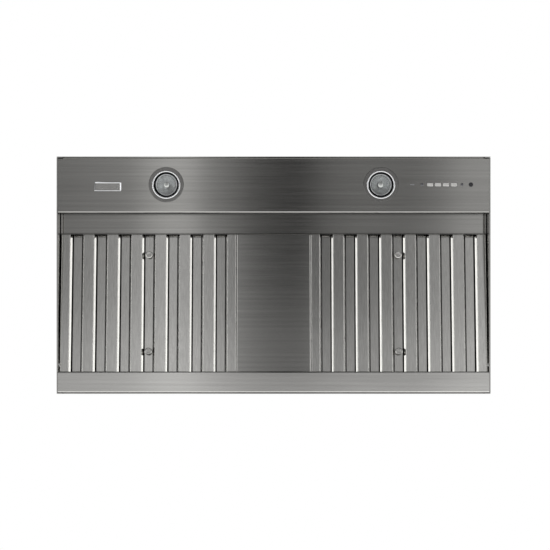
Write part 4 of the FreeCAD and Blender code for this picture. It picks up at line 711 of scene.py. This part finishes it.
def build_lamp(side):
    """All the pieces of one lamp."""
    low, high = lamp_boxes[side]
    x, y = (low.x + high.x) / 2, (low.y + high.y) / 2
    radius, face, pins_end = (high.x - low.x) / 2, low.z, high.z
    centre = Vector((x, y, 0))
    dish, base = lamp_profile(radius, face, pins_end)
    inside, node = radius - 1.4 * MM, f"lamp_{side}"

    outside = [(inside, face + LENS_THICK), (inside, face + 0.3 * MM), (radius - 0.5 * MM, face),
               (radius, face + 0.5 * MM)] + dish
    settled(f"lamp_dish_{side}", spun(outside, ROUND), centre, others["pressed_glass"],
            replaced=(node,))

    pane, near = inside - 0.2 * MM, face + LENS_GAP
    lens = [(0, near), (pane, near), (pane, face + LENS_THICK), (0, face + LENS_THICK)]
    settled(f"lamp_lens_{side}", spun(lens, ROUND), centre, front_glass)

    back = face + BOWL_DEPTH
    bowl = []
    for i in range(FACET_RINGS + 1):
        t = i / FACET_RINGS
        deep = (back - face - LENS_THICK) * t ** 0.62
        bowl.append((inside * (1 - t) + BOWL_NECK * t, face + LENS_THICK + LENS_GAP + deep))
    shape = spun(bowl + [(0, bowl[-1][1])], FACET_SEGMENTS)
    for facet in shape.faces:
        facet.normal_flip()
    bmesh.ops.poke(shape, faces=[f for f in shape.faces if len(f.verts) == 4], offset=FACET_RISE)
    settled(f"lamp_facets_{side}", shape, centre, facet_coat, smooth=0.0)

    cap_face, cap_bore = face + 5 * MM, CAP_RADIUS - CAP_WALL
    cap = [(0, cap_face), (CAP_RADIUS * 0.7, cap_face + 0.2 * MM), (CAP_RADIUS, cap_face + 1.2 * MM),
           (CAP_RADIUS, cap_face + 5 * MM), (cap_bore, cap_face + 5 * MM), (cap_bore, cap_face + 1.8 * MM),
           (CAPSULE_RADIUS, cap_face + 3 * MM), (CAPSULE_RADIUS, back), (0, back)]
    settled(f"lamp_cap_{side}", spun(cap, 40), centre, metals["satin_nickel"])

    neck = dish[-1][1] - 0.1 * MM
    foot = [(0, neck), (THROAT_RADIUS, neck), (THROAT_RADIUS, base - 1 * MM),
            (THROAT_RADIUS - 1 * MM, base), (0, base)]
    settled(f"lamp_base_{side}", spun(foot, 48), centre, others["steatite"])
    pin = [(0, base), (PIN_RADIUS, base), (PIN_RADIUS, pins_end - 0.8 * MM), (1.4 * MM, pins_end),
           (0, pins_end)]
    for turn in (-1, 1):
        place = centre + Vector((turn * PIN_OFFSET, 0, 0))
        settled(f"lamp_pin_{side}_{turn + 2}", spun(pin, 20), place, metals["zinc_plate"])


for side in lamp_boxes:
    build_lamp(side)
print("two lamps, face", round(lamp_boxes["left"][0].z / MM, 2), "mm above the rim")

# %% [markdown]
# ## The bare plate
# At the left of the control panel sits a small zinc die casting with a raised, polished frame
# and a satin field, held by glue. It is bare. A bevelled rim is a few rings of a rounded
# rectangle, each at its own inset and height, so the plate is made as such rings.

# %% The plate
PLATE_SIZE = (63 * MM, 21 * MM)
PLATE_PIXEL = (107.8, 186.5)
PLATE_CORNER, LEAST_CORNER = 1.6 * MM, 0.3 * MM
PLATE_RINGS = (             # inset and height, in millimetres
    (0.0, 0.0), (0.0, 0.5), (0.9, 1.15), (1.7, 1.15), (2.4, 0.7), (2.6, 0.7),
)


def ring_of(shape, points, height):
    """Vertices through some points at one height."""
    return [shape.verts.new((x, y, height)) for x, y in points]


def skin(shape, near, far):
    """Quads between two rings of as many vertices."""
    for i in range(len(near)):
        j = (i + 1) % len(near)
        shape.faces.new((near[i], near[j], far[j], far[i]))


def rounded_outline(size, corner, steps=6):
    """The points round a rectangle with rounded corners, in metres."""
    half_x, half_y = size[0] / 2 - corner, size[1] / 2 - corner
    points = []
    for quarter, (sx, sy) in enumerate(((1, 1), (-1, 1), (-1, -1), (1, -1))):
        for i in range(steps + 1):
            turn = math.pi / 2 * (quarter + i / steps)
            points.append((sx * half_x + corner * math.cos(turn), sy * half_y + corner * math.sin(turn)))
    return points


def bevelled_plate(size, corner, rings):
    """A low plate with a shaped rim, standing down from z = 0. Its field takes the second finish."""
    shape = bmesh.new()
    loops = []
    for inset, height in rings:
        ring_size = [side - 2 * inset * MM for side in size]
        outline = rounded_outline(ring_size, max(corner - inset * MM, LEAST_CORNER))
        loops.append(ring_of(shape, outline, -height * MM))
    for near, far in zip(loops, loops[1:]):
        skin(shape, near, far)
    field = shape.faces.new(loops[-1])
    shape.faces.new(loops[0])
    bmesh.ops.recalc_face_normals(shape, faces=shape.faces)
    field.material_index = 1
    return shape


plate_place = at_pixel(*PLATE_PIXEL, panel_face)
plate_place.z = panel_face
plate = settled("bare_plate", bevelled_plate(PLATE_SIZE, PLATE_CORNER, PLATE_RINGS), plate_place,
                metals["chrome_plate"], 30.0)
plate.data.materials.append(metals["satin_field"])
print("plate at", [round(c / MM, 1) for c in plate_place], "mm")

# %% [markdown]
# ## Screws
# The solids' screws are plain heads on shanks. A real pan head has a pressed cross recess, whose
# shadow is what tells the eye that it is a screw. Each head is a spun dome whose flat middle
# is filled round a cross, and the cross is pushed in.

# %% Screws with a cross recess
HEAD_RADIUS = 3.6 * MM
HEAD_HEIGHT = 1.6 * MM
DOME = ((1.0, 0.0), (1.0, 0.5), (0.9, 0.82), (0.7, 1.0))    # its profile, in shares of both
SHANK_RADIUS = 1.9 * MM
CROSS = (2.0 * MM, 0.55 * MM, 0.9 * MM)     # reach of an arm, half its width, depth
DRIVER_TURN = 0.7           # each screw stopped at another angle


def circle_points(radius, count=24):
    """Points round a circle."""
    return [(radius * math.cos(2 * math.pi * i / count), radius * math.sin(2 * math.pi * i / count))
            for i in range(count)]


def cross_head_screw(length):
    """A pan-head screw on Z: its seat is at z = 0, its head above and its shank below."""
    shape = bmesh.new()
    reach, half, deep = CROSS
    head = [ring_of(shape, circle_points(HEAD_RADIUS * wide), HEAD_HEIGHT * high) for wide, high in DOME]
    seat, crown = head[0], head[-1]
    for low, high in zip(head, head[1:]):
        skin(shape, low, high)
    arm = [(reach, -half), (reach, half), (half, half), (half, reach), (-half, reach), (-half, half),
           (-reach, half), (-reach, -half), (-half, -half), (-half, -reach), (half, -reach), (half, -half)]
    rim = ring_of(shape, arm, HEAD_HEIGHT)
    pit = ring_of(shape, [(x * 0.8, y * 0.8) for x, y in arm], HEAD_HEIGHT - deep)
    skin(shape, rim, pit)
    shape.faces.new(pit)
    edges = []
    for ring in (crown, rim):
        for pair in zip(ring, ring[1:] + ring[:1]):
            edges.append(shape.edges.get(pair) or shape.edges.new(pair))
    bmesh.ops.triangle_fill(shape, edges=edges, use_beauty=True)
    neck = ring_of(shape, circle_points(SHANK_RADIUS), 0)
    skin(shape, seat, neck)
    tip = ring_of(shape, circle_points(SHANK_RADIUS), -length + 0.6 * MM)
    point = ring_of(shape, circle_points(SHANK_RADIUS * 0.6), -length)
    skin(shape, neck, tip)
    skin(shape, tip, point)
    shape.faces.new(point)
    bmesh.ops.recalc_face_normals(shape, faces=shape.faces)
    return shape


def middle_between(values):
    """Halfway between the least and the greatest."""
    return (min(values) + max(values)) / 2


def screw_places(node, heads_up):
    """The seat and the length of each screw of a node, from the vertices that lie close together."""
    points = [v.co for v in nodes[node].data.vertices]
    places = []
    for p in points:
        if any((p.xy - q).length < 3 * HEAD_RADIUS for q in places):
            continue
        near = [o for o in points if (o.xy - p.xy).length < 2.1 * HEAD_RADIUS]
        places.append(Vector((middle_between([o.x for o in near]), middle_between([o.y for o in near]))))
    seats = []
    for spot in places:
        column = [o.z for o in points if (o.xy - spot).length < 1.2 * HEAD_RADIUS]
        end = max(column) - HEAD_HEIGHT if heads_up else min(column) + HEAD_HEIGHT
        seats.append((Vector((spot.x, spot.y, end)), max(column) - min(column) - HEAD_HEIGHT))
    return seats


def dress_screws(node, heads_up, material):
    """All the screws of a node as one piece with cross recesses."""
    together = bmesh.new()
    seats = screw_places(node, heads_up)
    for i, (seat, length) in enumerate(seats):
        one = cross_head_screw(length)
        turn = Matrix.Rotation(DRIVER_TURN * i, 4, "Z")
        flip = Matrix() if heads_up else Matrix.Rotation(math.pi, 4, "X")
        one.transform(Matrix.Translation(seat) @ flip @ turn)
        held = bpy.data.meshes.new("one_screw")
        one.to_mesh(held)
        one.free()
        together.from_mesh(held)
        bpy.data.meshes.remove(held)
    settled(f"{node}_crossed", together, Vector(), material, 40.0, (node,))
    return len(seats)


print("top screws:", dress_screws("top_screws", True, metals["zinc_plate"]))
print("panel screws:", dress_screws("control_screws", False, metals["black_oxide"]))

# %% [markdown]
# ## Growth of the dressing
# The dressed insert must stay inside the box of its solids, so the last cell prints how far
# the dressed box reaches past the box of the solids.

# %% Sizes and the end
bpy.context.view_layer.update()
dressed_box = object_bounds()
growth = dressed_box[1] - solid_box[1]
print("grown by", [round(side / MM, 3) for side in growth], "mm")
